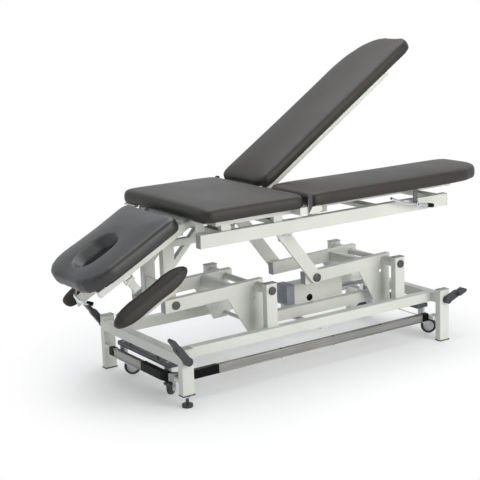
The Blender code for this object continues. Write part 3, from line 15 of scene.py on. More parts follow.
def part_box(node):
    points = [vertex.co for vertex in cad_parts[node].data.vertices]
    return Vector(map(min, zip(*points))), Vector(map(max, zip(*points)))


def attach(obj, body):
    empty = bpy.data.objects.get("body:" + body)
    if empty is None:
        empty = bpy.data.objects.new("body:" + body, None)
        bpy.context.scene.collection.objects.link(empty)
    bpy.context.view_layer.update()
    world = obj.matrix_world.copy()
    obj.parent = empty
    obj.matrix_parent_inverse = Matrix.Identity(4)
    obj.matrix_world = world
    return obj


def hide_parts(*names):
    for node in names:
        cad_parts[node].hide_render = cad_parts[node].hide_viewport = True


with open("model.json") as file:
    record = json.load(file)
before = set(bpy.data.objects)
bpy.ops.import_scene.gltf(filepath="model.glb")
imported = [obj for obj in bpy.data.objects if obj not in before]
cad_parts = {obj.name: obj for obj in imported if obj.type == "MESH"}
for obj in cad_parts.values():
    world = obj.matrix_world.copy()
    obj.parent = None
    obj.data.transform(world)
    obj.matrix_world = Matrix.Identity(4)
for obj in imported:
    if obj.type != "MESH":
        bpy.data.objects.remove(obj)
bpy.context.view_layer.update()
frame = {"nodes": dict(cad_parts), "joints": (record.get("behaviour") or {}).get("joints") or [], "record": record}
nodes = frame["nodes"]
joints = {joint["name"]: joint for joint in frame["joints"]}
bpy.context.scene.view_settings.view_transform = "Standard"


# %% [markdown]
# The camera stands where the photograph was taken from: a little above the seat, off the head end's near
# corner, with a long lens. Yaw, pitch and roll turn one set of axes, which become the camera's matrix. The place
# is measured from the couch's head pivot, so it stays right if the frame's middle moves.

# %% Camera at the photograph's view
yaw, pitch, roll = (math.radians(angle) for angle in (33.82, 12.32, 2.03))
level_right = Vector((math.cos(yaw), -math.sin(yaw), 0))
ahead = Vector((math.sin(yaw) * math.cos(pitch), math.cos(yaw) * math.cos(pitch), -math.sin(pitch)))
level_down = ahead.cross(level_right)
right = math.cos(roll) * level_right + math.sin(roll) * level_down
down = math.cos(roll) * level_down - math.sin(roll) * level_right
pivot = Vector(joints["lift"]["pos_m"])
place = Matrix((right, -down, -ahead)).transposed().to_4x4()
place.translation = pivot + Vector((-2.491, -3.736, 1.139))
lens = bpy.data.cameras.new("photo_view")
lens.lens = 89.47
lens.sensor_width = 36
camera = bpy.data.objects.new("photo_view", lens)
camera.matrix_world = place
bpy.context.scene.collection.objects.link(camera)
bpy.context.scene.camera = camera
print("camera at", [round(c, 3) for c in camera.location])


# %% [markdown]
# A finish is a small node tree on one shader. Four helpers cover most of them: one starts a finish and hands
# back its object coordinates, one makes a grain, one turns a grain into two tones, and one turns it into relief.
# Object coordinates are in metres here, so a grain of scale 900 has features of about a millimetre.

# %% Helpers for finishes
def start_finish(name, roughness, metallic=0.0):
    finish = bpy.data.materials.new(name)
    finish.use_nodes = True
    tree = finish.node_tree
    shader = tree.nodes["Principled BSDF"]
    shader.inputs["Roughness"].default_value = roughness
    shader.inputs["Metallic"].default_value = metallic
    return finish, tree, shader, tree.nodes.new("ShaderNodeTexCoord").outputs["Object"]


def grain(tree, where, scale, detail=2.0, stretch=(1, 1, 1)):
    mapping = tree.nodes.new("ShaderNodeMapping")
    mapping.inputs["Scale"].default_value = stretch
    noise = tree.nodes.new("ShaderNodeTexNoise")
    noise.inputs["Scale"].default_value = scale
    noise.inputs["Detail"].default_value = detail
    tree.links.new(where, mapping.inputs["Vector"])
    tree.links.new(mapping.outputs["Vector"], noise.inputs["Vector"])
    return noise.outputs["Fac"]


def two_tones(tree, shader, value, dark, light):
    ramp = tree.nodes.new("ShaderNodeValToRGB")
    ramp.color_ramp.elements[0].color = (*dark, 1)
    ramp.color_ramp.elements[0].position = 0.35
    ramp.color_ramp.elements[1].color = (*light, 1)
    ramp.color_ramp.elements[1].position = 0.65
    tree.links.new(value, ramp.inputs["Fac"])
    tree.links.new(ramp.outputs["Color"], shader.inputs["Base Color"])


def two_sheens(tree, shader, value, low, high):
    span = tree.nodes.new("ShaderNodeMapRange")
    span.inputs["From Min"].default_value = 0.3
    span.inputs["From Max"].default_value = 0.7
    span.inputs["To Min"].default_value = low
    span.inputs["To Max"].default_value = high
    tree.links.new(value, span.inputs["Value"])
    tree.links.new(span.outputs["Result"], shader.inputs["Roughness"])


def relief(tree, shader, value, height, strength=1.0):
    bump = tree.nodes.new("ShaderNodeBump")
    bump.inputs["Strength"].default_value = strength
    bump.inputs["Distance"].default_value = height
    tree.links.new(value, bump.inputs["Height"])
    tree.links.new(bump.outputs["Normal"], shader.inputs["Normal"])


print("finish helpers ready")


# %% [markdown]
# The tubes are powder coated: a pale warm grey with the faint orange peel of baked powder, and slow changes of
# tone where the coat is thicker. The castor bars have the same coat in dark grey, so one function makes both.

# %% Powder coat
def powder_coat(name, dark, light, roughness):
    finish, tree, shader, where = start_finish(name, roughness)
    two_tones(tree, shader, grain(tree, where, 5.0), dark, light)
    two_sheens(tree, shader, grain(tree, where, 60.0), roughness - 0.05, roughness + 0.07)
    relief(tree, shader, grain(tree, where, 700.0), 0.00012)
    return finish


cream_coat = powder_coat("cream_coat", (0.60, 0.61, 0.565), (0.64, 0.65, 0.605), 0.40)
grey_coat = powder_coat("grey_coat", (0.075, 0.082, 0.088), (0.10, 0.108, 0.115), 0.45)
print("made", cream_coat.name, "and", grey_coat.name)


# %% [markdown]
# The cover is charcoal vinyl. Its leather print is a field of small cells, deeper at their borders, so a Voronoi
# distance gives the relief, and a slow noise breaks the sheen as hands and cleaning do. The head cover is the same
# cloth with more gloss.

# %% Upholstery vinyl
def cover_vinyl(name, dark, light, sheen_low, sheen_high, gloss):
    finish, tree, shader, where = start_finish(name, sheen_high)
    two_tones(tree, shader, grain(tree, where, 260.0, 2.0), dark, light)
    two_sheens(tree, shader, grain(tree, where, 6.0, 2.0), sheen_low, sheen_high)
    cells = tree.nodes.new("ShaderNodeTexVoronoi")
    cells.feature = "DISTANCE_TO_EDGE"
    cells.inputs["Scale"].default_value = 520.0
    tree.links.new(where, cells.inputs["Vector"])
    relief(tree, shader, cells.outputs["Distance"], 0.0004, 0.35)
    shader.inputs["Specular IOR Level"].default_value = gloss
    return finish


seat_vinyl = cover_vinyl("seat_vinyl", (0.0225, 0.0190, 0.0160), (0.0280, 0.0240, 0.0205), 0.45, 0.51, 0.34)
head_vinyl = cover_vinyl("head_vinyl", (0.026, 0.0255, 0.025), (0.032, 0.0315, 0.031), 0.34, 0.40, 0.45)
print("made", seat_vinyl.name, "and", head_vinyl.name)


# %% [markdown]
# Under each cushion a black dust cloth is stapled over the board. It is a plain weave, which two crossed bands
# give: the product of their waves is the raised thread.

# %% Dust cloth
dust_cloth, tree, shader, where = start_finish("dust_cloth", 0.9)
threads = []
for direction in ("X", "Y"):
    band = tree.nodes.new("ShaderNodeTexWave")
    band.bands_direction = direction
    band.inputs["Scale"].default_value = 260.0
    tree.links.new(where, band.inputs["Vector"])
    threads.append(band.outputs["Fac"])
weave = tree.nodes.new("ShaderNodeMath")
weave.operation = "MULTIPLY"
tree.links.new(threads[0], weave.inputs[0])
tree.links.new(threads[1], weave.inputs[1])
two_tones(tree, shader, weave.outputs["Value"], (0.014, 0.014, 0.015), (0.035, 0.035, 0.037))
relief(tree, shader, weave.outputs["Value"], 0.0003)
print("made", dust_cloth.name)


# %% [markdown]
# Moulded plastic and rubber differ mostly in gloss and in the size of their grain. The pedals and plugs are spark
# eroded plastic with a fine even grain; the sleeves of the foot bar are rubber, duller and a little mottled.

# %% Plastic and rubber
def moulded(name, dark, light, roughness, grain_scale, height):
    finish, tree, shader, where = start_finish(name, roughness)
    two_tones(tree, shader, grain(tree, where, 40.0, 3.0), dark, light)
    two_sheens(tree, shader, grain(tree, where, 90.0), roughness - 0.06, roughness + 0.08)
    relief(tree, shader, grain(tree, where, grain_scale, 1.0), height)
    return finish


pedal_plastic = moulded("pedal_plastic", (0.030, 0.031, 0.034), (0.040, 0.041, 0.045), 0.48, 1500.0, 0.0001)
plug_plastic = moulded("plug_plastic", (0.27, 0.28, 0.275), (0.32, 0.33, 0.325), 0.50, 1500.0, 0.0001)
# painted shade: this blue-grey stands for the cool shade on the motor's head-facing end
painted_shade_blue = moulded("painted_shade_blue", (0.20, 0.225, 0.26), (0.24, 0.265, 0.30), 0.42, 1500.0, 0.0001)
hub_plastic = moulded("hub_plastic", (0.42, 0.43, 0.43), (0.48, 0.49, 0.49), 0.45, 1500.0, 0.0001)
sleeve_rubber = moulded("sleeve_rubber", (0.002, 0.002, 0.002), (0.004, 0.004, 0.004), 0.34, 800.0, 0.00010)
sleeve_rubber.node_tree.nodes["Principled BSDF"].inputs["Specular IOR Level"].default_value = 0.1
tread_rubber = moulded("tread_rubber", (0.035, 0.036, 0.038), (0.052, 0.053, 0.056), 0.62, 600.0, 0.0002)
print("made six moulded finishes")


# %% [markdown]
# Bare metals show how they were worked. The foot bar is drawn aluminium, so its grain runs along X in long fine
# lines. Forks, shafts and stay barrels are zinc plated, with a patchy bloom. Rods and levers are chromed: almost
# a mirror, with only a breath of change in the gloss. Pivot screws are blackened steel.

# %% Metals
drawn_aluminium, tree, shader, where = start_finish("drawn_aluminium", 0.38, 1.0)
lines = grain(tree, where, 300.0, 2.0, (0.02, 1, 1))
two_tones(tree, shader, lines, (0.24, 0.236, 0.224), (0.34, 0.335, 0.320))
two_sheens(tree, shader, lines, 0.30, 0.46)
relief(tree, shader, lines, 0.00006)

zinc_plate, tree, shader, where = start_finish("zinc_plate", 0.38, 1.0)
bloom = grain(tree, where, 120.0, 4.0)
two_tones(tree, shader, bloom, (0.42, 0.44, 0.45), (0.58, 0.60, 0.61))
two_sheens(tree, shader, bloom, 0.30, 0.48)
relief(tree, shader, grain(tree, where, 900.0), 0.00005)

bright_chrome, tree, shader, where = start_finish("bright_chrome", 0.12, 1.0)
two_tones(tree, shader, grain(tree, where, 30.0), (0.58, 0.59, 0.61), (0.64, 0.65, 0.67))
two_sheens(tree, shader, grain(tree, where, 80.0), 0.09, 0.18)

black_steel, tree, shader, where = start_finish("black_steel", 0.42, 1.0)
two_tones(tree, shader, grain(tree, where, 200.0, 3.0), (0.075, 0.075, 0.073), (0.12, 0.12, 0.117))
two_sheens(tree, shader, grain(tree, where, 300.0), 0.34, 0.50)
print("made four metals")


# %% [markdown]
# Now every solid gets its finish from the slot that the record names, except the pivots, which are coated like
# the tubes. Shafts and pivots have dark heads, and the leg hinges have dark leaves beside the cushions and dark
# lever lugs, so those faces get their own finish.
# Sawn and pressed edges are never razor sharp, and a fine bevel is what catches the light along a tube. It is
# a modifier, so the solids themselves stay as they are; the weighted normals keep the flats flat beside it.

# %% Finish the solids
LEAF_Y = 0.30
LUG_Y = 0.27
HEAD_DEPTH = 0.012
raised_angle = math.radians(33.5)
slot_finish = {
    "frame_paint": cream_coat, "cushion_vinyl": seat_vinyl, "dark_plastic": pedal_plastic,
    "grey_paint": grey_coat, "zinc_steel": zinc_plate, "chrome": bright_chrome,
    "aluminium": drawn_aluminium, "black_rubber": sleeve_rubber, "castor_tread": tread_rubber,
}
slot_of = {part["node"]: part["material_slot"] for part in frame["record"]["subparts"]}
for name, solid in nodes.items():
    finish = cream_coat if "pivot" in name else slot_finish[slot_of[name]]
    solid.data.materials.clear()
    solid.data.materials.append(finish)
    solid.data.polygons.foreach_set("use_smooth", [True] * len(solid.data.polygons))
    weld = solid.modifiers.new("weld", "WELD")
    weld.merge_threshold = 0.00001
    edge = solid.modifiers.new("edge", "BEVEL")
    edge.width = 0.0011
    edge.segments = 2
    edge.limit_method = "ANGLE"
    edge.angle_limit = math.radians(38)
    flats = solid.modifiers.new("flats", "WEIGHTED_NORMAL")
    flats.keep_sharp = False
for name, solid in nodes.items():
    if "pivot" in name or "shaft" in name:
        solid.data.materials.append(black_steel if "pivot" in name else pedal_plastic)
        head_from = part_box(name)[1].y - HEAD_DEPTH
        for face in solid.data.polygons:
            face.material_index = int(abs(face.center.y) > head_from)
board_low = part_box("seat_cushion")[0].z - 0.004
for name, angle in (("leg_frame_near", 0.0), ("leg_frame_far", raised_angle), ("seat_frame", 0.0)):
    solid = nodes[name]
    hinge = Vector(joints["leg_tilt_far" if "far" in name else "leg_tilt_near"]["pos_m"])
    solid.data.materials.append(pedal_plastic)
    solid.data.materials.append(grey_coat)
    for face in solid.data.polygons:
        outward = abs(face.center.y)
        from_hinge = face.center - hinge
        height = from_hinge.z * math.cos(angle) - from_hinge.x * math.sin(angle)
        above = height > board_low - hinge.z
        if outward > LEAF_Y and above:
            face.material_index = 1
        elif LUG_Y < outward < LEAF_Y and not above and name != "seat_frame":
            face.material_index = 2
print("finished", len(nodes), "solids")


# %% [markdown]
# A cushion is foam on a board under a stretched cover. The solid gives its outline and crown; the cover is then
# blown up a little as cloth, with the underside pinned to the board, so the top and the sides swell between
# their corners as a filled cover does. The swelling is capped and evened out between neighbours, because tight
# vinyl shows no creases, and one subdivision smooths it. The foam hangs a little below its board, so the lower
# half is first drawn down by the overhang. The foam's upper edges are rolled: a few passes that draw each point
# towards its neighbours round them, more at the top and not at all at the board.
# Faces that look down from the board get the dust cloth.

# %% Helper that upholsters a cushion
PULL_IN = 0.0025
SWELL = 0.006
OVERHANG = 0.008
LAST_STEP = 20
EVEN_PASSES = 150


def evened(values, mesh, passes, share):
    links = np.array([edge.vertices[:] for edge in mesh.edges])
    neighbours = np.bincount(links.ravel(), minlength=len(values))[:, None]
    for _ in range(passes):
        around = np.zeros_like(values)
        np.add.at(around, links[:, 0], values[links[:, 1]])
        np.add.at(around, links[:, 1], values[links[:, 0]])
        values = (1 - share) * values + share * around / neighbours
    return values


def swell(cover, up):
    rest = [vertex.co.copy() for vertex in cover.data.vertices]
    board = cover.vertex_groups.new(name="board")
    board.add([v.index for v in cover.data.vertices if v.normal.dot(up) < -0.6], 1.0, "REPLACE")
    cloth = cover.modifiers.new("cloth", "CLOTH")
    cloth.settings.use_pressure = True
    cloth.settings.uniform_pressure_force = 4.0
    cloth.settings.vertex_group_mass = "board"
    cloth.settings.effector_weights.gravity = 0.0
    for step in range(1, LAST_STEP + 1):
        bpy.context.scene.frame_set(step)
    shape = cover.evaluated_get(bpy.context.evaluated_depsgraph_get()).data
    blown = [vertex.co.copy() for vertex in shape.vertices]
    cover.modifiers.remove(cloth)
    cover.vertex_groups.clear()
    bpy.context.scene.frame_set(1)
    moves = np.array([end - start for start, end in zip(rest, blown)])
    lengths = np.linalg.norm(moves, axis=1, keepdims=True)
    moves *= np.minimum(1.0, SWELL / np.maximum(lengths, 1e-9))
    moves = evened(moves, cover.data, EVEN_PASSES, 0.6)
    for vertex, start, move in zip(cover.data.vertices, rest, moves):
        vertex.co = start + Vector(move)


def upholster(node, body, up, finish, voxel, overhang=0.0, rolling=0):
    cover = bpy.data.objects.new(node + "_cover", nodes[node].data.copy())
    bpy.context.scene.collection.objects.link(cover)
    cover.data.materials.clear()
    cover.data.materials.append(finish)
    cover.data.materials.append(dust_cloth)
    bm = bmesh.new()
    bm.from_mesh(cover.data)
    bmesh.ops.remove_doubles(bm, verts=bm.verts, dist=0.00001)
    bm.to_mesh(cover.data)
    bm.free()
    remesh = cover.modifiers.new("remesh", "REMESH")
    remesh.mode = "VOXEL"
    remesh.voxel_size = voxel
    pull = cover.modifiers.new("pull", "DISPLACE")
    pull.mid_level = 0.0
    pull.strength = -PULL_IN
    even = cover.modifiers.new("even", "SMOOTH")
    even.iterations = 6
    made = bpy.data.meshes.new_from_object(cover.evaluated_get(bpy.context.evaluated_depsgraph_get()))
    cover.modifiers.clear()
    cover.data = made
    up = Vector(up)
    points = np.array([vertex.co for vertex in made.vertices])
    heights = points @ np.array(up)
    low, middle = heights.min(), (heights.min() + heights.max()) / 2
    droops = overhang * np.maximum(0.0, (middle - heights) / (middle - low))
    points -= droops[:, None] * np.array(up)
    rolled = np.clip((heights - low) / (middle - low), 0.0, 1.0)[:, None]
    points = evened(points, made, rolling, 0.5 * rolled)
    for vertex, point in zip(made.vertices, points):
        vertex.co = point
    swell(cover, up)
    bm = bmesh.new()
    bm.from_mesh(cover.data)
    bmesh.ops.smooth_vert(bm, verts=bm.verts, factor=0.5,
                          use_axis_x=True, use_axis_y=True, use_axis_z=True)
    bm.normal_update()
    for face in bm.faces:
        face.smooth = True
        face.material_index = 1 if face.normal.dot(up) < -0.8 else 0
    bm.to_mesh(cover.data)
    bm.free()
    soft = cover.modifiers.new("soft", "SUBSURF")
    soft.levels = soft.render_levels = 1
    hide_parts(node)
    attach(cover, body)
    print(cover.name, len(cover.data.polygons), "faces")


# %% [markdown]
# The seat and the two leg sections are the big covers. The far leg section is raised, so its own up direction is
# turned with it, and the pinned underside is found from that direction. A slanted sheet is cut into more voxels,
# so the raised one takes larger ones, and fewer passes roll its edge as far.

# %% Seat and leg covers
raised = (-math.sin(raised_angle), 0, math.cos(raised_angle))
upholster("seat_cushion", "top", (0, 0, 1), seat_vinyl, 0.006, OVERHANG, 24)
upholster("leg_cushion_near", "leg_near", (0, 0, 1), seat_vinyl, 0.006, OVERHANG, 24)
upholster("leg_cushion_far", "leg_far", raised, seat_vinyl, 0.007, OVERHANG, 18)


# %% [markdown]
# The head cover has the face opening, whose rim is rolled over the foam, and the armrests are small leaf-shaped
# pads hanging from the head section. They take a finer voxel, because their curves are tighter.

# %% Head and armrest covers
droop = math.radians(28)
head_up = (-math.sin(droop), 0, math.cos(droop))
upholster("head_cushion", "head", head_up, head_vinyl, 0.005)
pad_up = {}
for side, across in (("near", -1), ("far", 1)):
    pad_up[side] = Vector((-0.5 * math.sin(droop), 0.866 * across, 0.5 * math.cos(droop)))
    upholster("armrest_cushion_" + side, "armrest_" + side, pad_up[side], seat_vinyl, 0.004)


# %% [markdown]
# The small hardware is modelled from two operator-made shapes: a slab, which is a bevelled cube, and a barrel,
# which is a cone with equal ends and chamfered rims. A piece collects several of them in one mesh and rides on
# one body.

# %% Helpers for hardware
def slab(bm, centre, size, edge, turn=None):
    made = bmesh.ops.create_cube(bm, size=1.0)["verts"]
    bmesh.ops.scale(bm, vec=size, verts=made)
    if turn is not None:
        bmesh.ops.rotate(bm, cent=(0, 0, 0), matrix=turn, verts=made)
    bmesh.ops.translate(bm, vec=centre, verts=made)
    edges = list({line for vertex in made for line in vertex.link_edges})
    bmesh.ops.bevel(bm, geom=edges, offset=edge, offset_type="OFFSET", segments=2, profile=0.5,
                    affect="EDGES", material=-1)


def barrel(bm, start, end, radius, chamfer=0.0, sides=28):
    start, end = Vector(start), Vector(end)
    axis = end - start
    turn = axis.to_track_quat("Z", "Y").to_matrix().to_4x4()
    made = bmesh.ops.create_cone(bm, cap_ends=True, segments=sides, radius1=radius, radius2=radius,
                                 depth=axis.length, matrix=Matrix.Translation((start + end) / 2) @ turn)["verts"]
    if chamfer:
        lines = {line for vertex in made for line in vertex.link_edges}
        rims = [line for line in lines if abs((line.verts[1].co - line.verts[0].co).dot(axis)) < 1e-6]
        bmesh.ops.bevel(bm, geom=rims, offset=chamfer, offset_type="OFFSET", segments=2, profile=0.5,
                        affect="EDGES", material=-1)


def piece(name, bm, finish, body):
    bmesh.ops.recalc_face_normals(bm, faces=bm.faces)
    mesh = bpy.data.meshes.new(name)
    bm.to_mesh(mesh)
    bm.free()
    mesh.materials.append(finish)
    mesh.polygons.foreach_set("use_smooth", [True] * len(mesh.polygons))
    mesh.set_sharp_from_angle(angle=math.radians(40))
    made = bpy.data.objects.new(name, mesh)
    bpy.context.scene.collection.objects.link(made)
    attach(made, body)
    print(name, len(mesh.polygons), "faces on", body)


# %% [markdown]
# Square tubes are closed with pressed-in plastic plugs. On the base they sit on the legs and the posts as
# thin grey lids with a soft edge. The legs also stand in thin dark shoes at the floor; the short leg has its
# shoe at its own lower end, above the levelling screw.

# %% Plugs and shoes of the base
leg_x = {end: joints[f"castor_{end}_near_swivel"]["pos_m"][0] for end in ("head", "foot")}
LEG_Y = 0.290
POST_Y = 0.205
leg_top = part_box("end_frame_head")[1].z
plugs = bmesh.new()
shoes = bmesh.new()
for end, x in leg_x.items():
    for y in (-LEG_Y, LEG_Y):
        slab(plugs, (x, y, leg_top + 0.0012), (0.0505, 0.0305, 0.0028), 0.0010)
        shoe_z = 0.045 if end == "head" and y < 0 else 0.0026
        slab(shoes, (x, y, shoe_z), (0.0525, 0.0325, 0.0050), 0.0012)
post_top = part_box("base_rail_near")[1].z
for name in ("lift", "lift_foot"):
    for y in (-POST_Y, POST_Y):
        slab(plugs, (joints[name]["pos_m"][0], y, post_top + 0.0012), (0.0508, 0.0308, 0.0030), 0.0010)
piece("leg_and_post_plugs", plugs, plug_plastic, "base")
piece("leg_shoes", shoes, pedal_plastic, "base")


# %% [markdown]
# The lift arms' free ends are closed by darker plugs, set square to the arm, which hangs a little below level.
# The top frame's rails end in plugs too.

# %% Plugs of the arms and the top rails
ARM_Y = 0.108
RAIL_Y, RAIL_Z = 0.245, 0.576
TUBE_END = (0.0300, 0.0500)
slope = Matrix.Rotation(math.radians(-1.7), 3, "Y")
for end in ("head", "foot"):
    arm = "lift_arm_" + end
    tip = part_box(arm)[0].x
    free_z = joints["top_level"]["pos_m"][2]
    plugs = bmesh.new()
    for y in (-ARM_Y, ARM_Y):
        slab(plugs, (tip - 0.0004, y, free_z - 0.0006), (0.0036, *TUBE_END), 0.0010, slope)
    piece("arm_plugs_" + end, plugs, plug_plastic, arm)
plugs = bmesh.new()
low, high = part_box("top_frame")
for x in (pivot.x - 0.3290, high.x + 0.0010):
    for y in (-RAIL_Y, RAIL_Y):
        slab(plugs, (x, y, RAIL_Z), (0.0028, *TUBE_END), 0.0010)
piece("top_rail_plugs", plugs, plug_plastic, "top")


# %% [markdown]
# The top frame's foot pins end in round heads outside the diagonals. Each head is covered by a dark pressed cap,
# like the pivot screws at the head end. The foot pin lies one post spacing from the head pin.

# %% Caps of the foot pins
head_pin = joints["top_level"]["pos_m"]
pin_x = head_pin[0] + joints["lift_foot"]["pos_m"][0] - pivot.x
CAP_FROM, CAP_TO = 0.1385, 0.1455
caps = bmesh.new()
for across in (-1, 1):
    barrel(caps, (pin_x, across * CAP_FROM, head_pin[2]), (pin_x, across * CAP_TO, head_pin[2]), 0.0168, 0.0012)
piece("foot_pin_caps", caps, black_steel, "top")


# %% [markdown]
# Each armrest pad is glued to a painted plate, whose edge shows as a pale line along the pad's lower side. The
# edge is a slim slab, laid out in the pad's own directions: along it, down across it and out of it.

# %% Plate edges of the armrests
along = Vector((math.cos(droop), 0, math.sin(droop)))
for side, across in (("near", -1), ("far", 1)):
    down = -across * along.cross(pad_up[side])
    turn = Matrix((along, down, pad_up[side])).transposed()
    spans = []
    for way in (along, down, pad_up[side]):
        reach = [vertex.co.dot(way) for vertex in nodes["armrest_cushion_" + side].data.vertices]
        spans.append((min(reach), max(reach)))
    length = spans[0][1] - spans[0][0]
    centre = along * (spans[0][0] + 0.56 * length) + down * (spans[1][1] - 0.0035)
    centre += pad_up[side] * (spans[2][0] + 0.003)
    edge_bar = bmesh.new()
    slab(edge_bar, centre, (0.48 * length, 0.012, 0.005), 0.0015, turn)
    piece("armrest_plate_edge_" + side, edge_bar, cream_coat, "armrest_" + side)


# %% [markdown]
# Along the gap between the two leg sections each cushion's board is stiffened by a painted strip, which shows as
# a pale line under the raised section. It lies in the section's own directions, from its hinge on.

# %% Strips under the leg boards
STRIP = (0.730, 0.016, 0.017)
board_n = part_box("leg_cushion_near")[0].z - joints["leg_tilt_near"]["pos_m"][2]
for side, across, angle in (("near", -1, 0.0), ("far", 1, raised_angle)):
    leg_hinge = Vector(joints["leg_tilt_" + side]["pos_m"])
    strip_along = Vector((math.cos(angle), 0, math.sin(angle)))
    strip_out = Vector((-math.sin(angle), 0, math.cos(angle)))
    centre = leg_hinge + strip_along * 0.410 + strip_out * (board_n - STRIP[2] / 2)
    centre.y = across * 0.024
    strip = bmesh.new()
    slab(strip, centre, STRIP, 0.0015, Matrix.Rotation(-angle, 3, "Y"))
    piece("leg_board_strip_" + side, strip, cream_coat, "leg_" + side)


# %% [markdown]
# The seat's foam lies in a shallow tray, whose lip shows as a pale line under the head end of the cushion. It is
# left open in the middle, where the head section swings up.

# %% Lip of the seat tray
low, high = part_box("seat_cushion")
lip = bmesh.new()
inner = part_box("head_frame")[1].y + 0.004
outer = high.y - 0.030
for across in (-1, 1):
    lip_y = across * (inner + outer) / 2
    slab(lip, (low.x + 0.017, lip_y, low.z - 0.010), (0.016, outer - inner, 0.008), 0.0015)
piece("seat_tray_lip", lip, cream_coat, "top")


# %% [markdown]
# The foot bar is a drawn profile with a lip along its upper and lower edge, and slim clips hold its inner switch
# strip. The lips are long slabs just proud of the bar, and the clips straddle them.

# %% Foot bar lips and clips
low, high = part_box("foot_bar_near")
middle = (low + high) / 2
lips = bmesh.new()
for z in (low.z + 0.002, high.z - 0.002):
    slab(lips, (middle.x, low.y - 0.0006, z), (high.x - low.x, 0.0030, 0.0044), 0.0007)
head_low, head_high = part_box("foot_bar_head")
head_middle = (head_low + head_high) / 2
for z in (head_low.z + 0.002, head_high.z - 0.002):
    slab(lips, (head_low.x - 0.0006, head_middle.y, z), (0.0030, head_high.y - head_low.y, 0.0044), 0.0007)
piece("foot_bar_lips", lips, drawn_aluminium, "foot_bar")
clips = bmesh.new()
for x in (pivot.x + 0.015, pivot.x + 0.265, pivot.x + 0.505):
    for z in (low.z - 0.0010, high.z + 0.0010):
        slab(clips, (x, middle.y - 0.006, z), (0.0030, 0.0120, 0.0036), 0.0006)
piece("foot_bar_clips", clips, black_steel, "foot_bar")


# %% [markdown]
# A thin steel rod runs across the foot end from the bar's end block to the far leg. It keeps both sides of
# the switch level. It is two barrels, the short one bent in to the leg.

# %% Cross rod of the foot switch
low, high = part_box("foot_bar_end_foot")
rod_x = (low.x + high.x) / 2
leg_face = leg_x["foot"] - 0.025
ROD_Z, ROD_RADIUS = 0.098, 0.0022
cross_rod = bmesh.new()
barrel(cross_rod, (rod_x, high.y - 0.004, ROD_Z), (rod_x, 0.268, ROD_Z), ROD_RADIUS, 0.0005, 12)
barrel(cross_rod, (rod_x, 0.267, ROD_Z), (leg_face + 0.001, 0.288, ROD_Z), ROD_RADIUS, 0.0005, 12)
piece("foot_switch_rod", cross_rod, bright_chrome, "base")


# %% [markdown]
# The motor's rear is a moulded cover, a little proud of the housing. Its blue-grey is painted shade: it is the
# cool tone that the head-facing end takes in shade. A black grommet sits low on the near face. Each is set on the
# housing's own box.

# %% Motor cover and grommet
low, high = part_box("actuator_housing")
cover = bmesh.new()
cover_z = (low.z + high.z) / 2 + 0.003
slab(cover, (low.x + 0.017, 0, cover_z), (0.040, 0.0735, high.z - low.z - 0.002), 0.0040)
# the cover's blue-grey is painted shade on the motor's head-facing end
piece("motor_cover", cover, painted_shade_blue, "base")
grommet = bmesh.new()
grommet_x, grommet_z = pivot.x + 0.315, low.z + 0.018
barrel(grommet, (grommet_x, low.y + 0.001, grommet_z), (grommet_x, low.y - 0.0025, grommet_z), 0.014, 0.0010)
piece("motor_grommet", grommet, sleeve_rubber, "base")


# %% [markdown]
# Castor wheels have pale hubs inside a dark tread, and the near one at the head end carries a brake tab. Hubs are
# thin discs along the wheel's own axle, which the roll joint gives. The tab stays below the foot bar, which can be
# pressed down to it.

# %% Castor hubs and brake tab
for end in ("head", "foot"):
    for side in ("near", "far"):
        roll_joint = joints[f"castor_{end}_{side}_roll"]
        centre, axle = Vector(roll_joint["pos_m"]), Vector(roll_joint["axis"])
        hub = bmesh.new()
        for way in (-1, 1):
            barrel(hub, centre + way * axle * 0.0100, centre + way * axle * 0.0113, 0.0215, 0.0003)
        piece(f"castor_hub_{end}_{side}", hub, hub_plastic, f"castor_wheel_{end}_{side}")
roll_joint = joints["castor_head_near_roll"]
swivel = joints["castor_head_near_swivel"]
axle = Vector(roll_joint["axis"])
trail = Vector(roll_joint["pos_m"]) - Vector(swivel["pos_m"])
trail.z = 0
trail.normalize()
turn = Matrix((trail, axle, (0, 0, 1))).transposed()
tab = bmesh.new()
tab_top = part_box("foot_bar_corner_head")[0].z - 0.0065
base_point = Vector(swivel["pos_m"]) - trail * 0.014
slab(tab, base_point + Vector((0, 0, tab_top - 0.0020)), (0.030, 0.016, 0.004), 0.0012, turn)
tilt = turn @ Matrix.Rotation(math.radians(40), 3, "Y")
slab(tab, base_point - trail * 0.021 + Vector((0, 0, tab_top - 0.0095)), (0.024, 0.018, 0.004), 0.0012, tilt)
piece("castor_brake_tab", tab, pedal_plastic, "castor_fork_head_near")


# %% [markdown]
# Each release lever's pull end has a black dipped grip, and the levelling foot is locked by a hexagon nut under
# the leg. A six-sided barrel with a chamfer is already a nut.

# %% Lever grips and lock nut
hinge = Vector(joints["head_tilt"]["pos_m"])


def on_head(u, y, n):
    return hinge + Vector((-u * math.cos(droop) - n * math.sin(droop), y,
                           -u * math.sin(droop) + n * math.cos(droop)))


for side, across, angle in (("near", -1, 0.0), ("far", 1, raised_angle)):
    leg_hinge = Vector(joints["leg_tilt_" + side]["pos_m"])
    ends = []
    for along, out in ((0.601, -0.112), (0.630, -0.118)):
        ends.append(leg_hinge + Vector((along * math.cos(angle) - out * math.sin(angle), across * 0.290,
                                        along * math.sin(angle) + out * math.cos(angle))))
    grip = bmesh.new()
    barrel(grip, ends[0], ends[1], 0.0085, 0.0025)
    piece("leg_lever_grip_" + side, grip, sleeve_rubber, "leg_lever_" + side)
grip = bmesh.new()
barrel(grip, on_head(0.451, -0.0145, -0.0598), on_head(0.4385, -0.0320, -0.0713), 0.0075, 0.0020)
piece("head_lever_grip", grip, sleeve_rubber, "head_lever")
screw = joints["levelling_screw"]["pos_m"]
nut = bmesh.new()
barrel(nut, (screw[0], screw[1], 0.0335), (screw[0], screw[1], 0.0420), 0.0105, 0.0010, 6)
piece("levelling_nut", nut, zinc_plate, "levelling_foot")


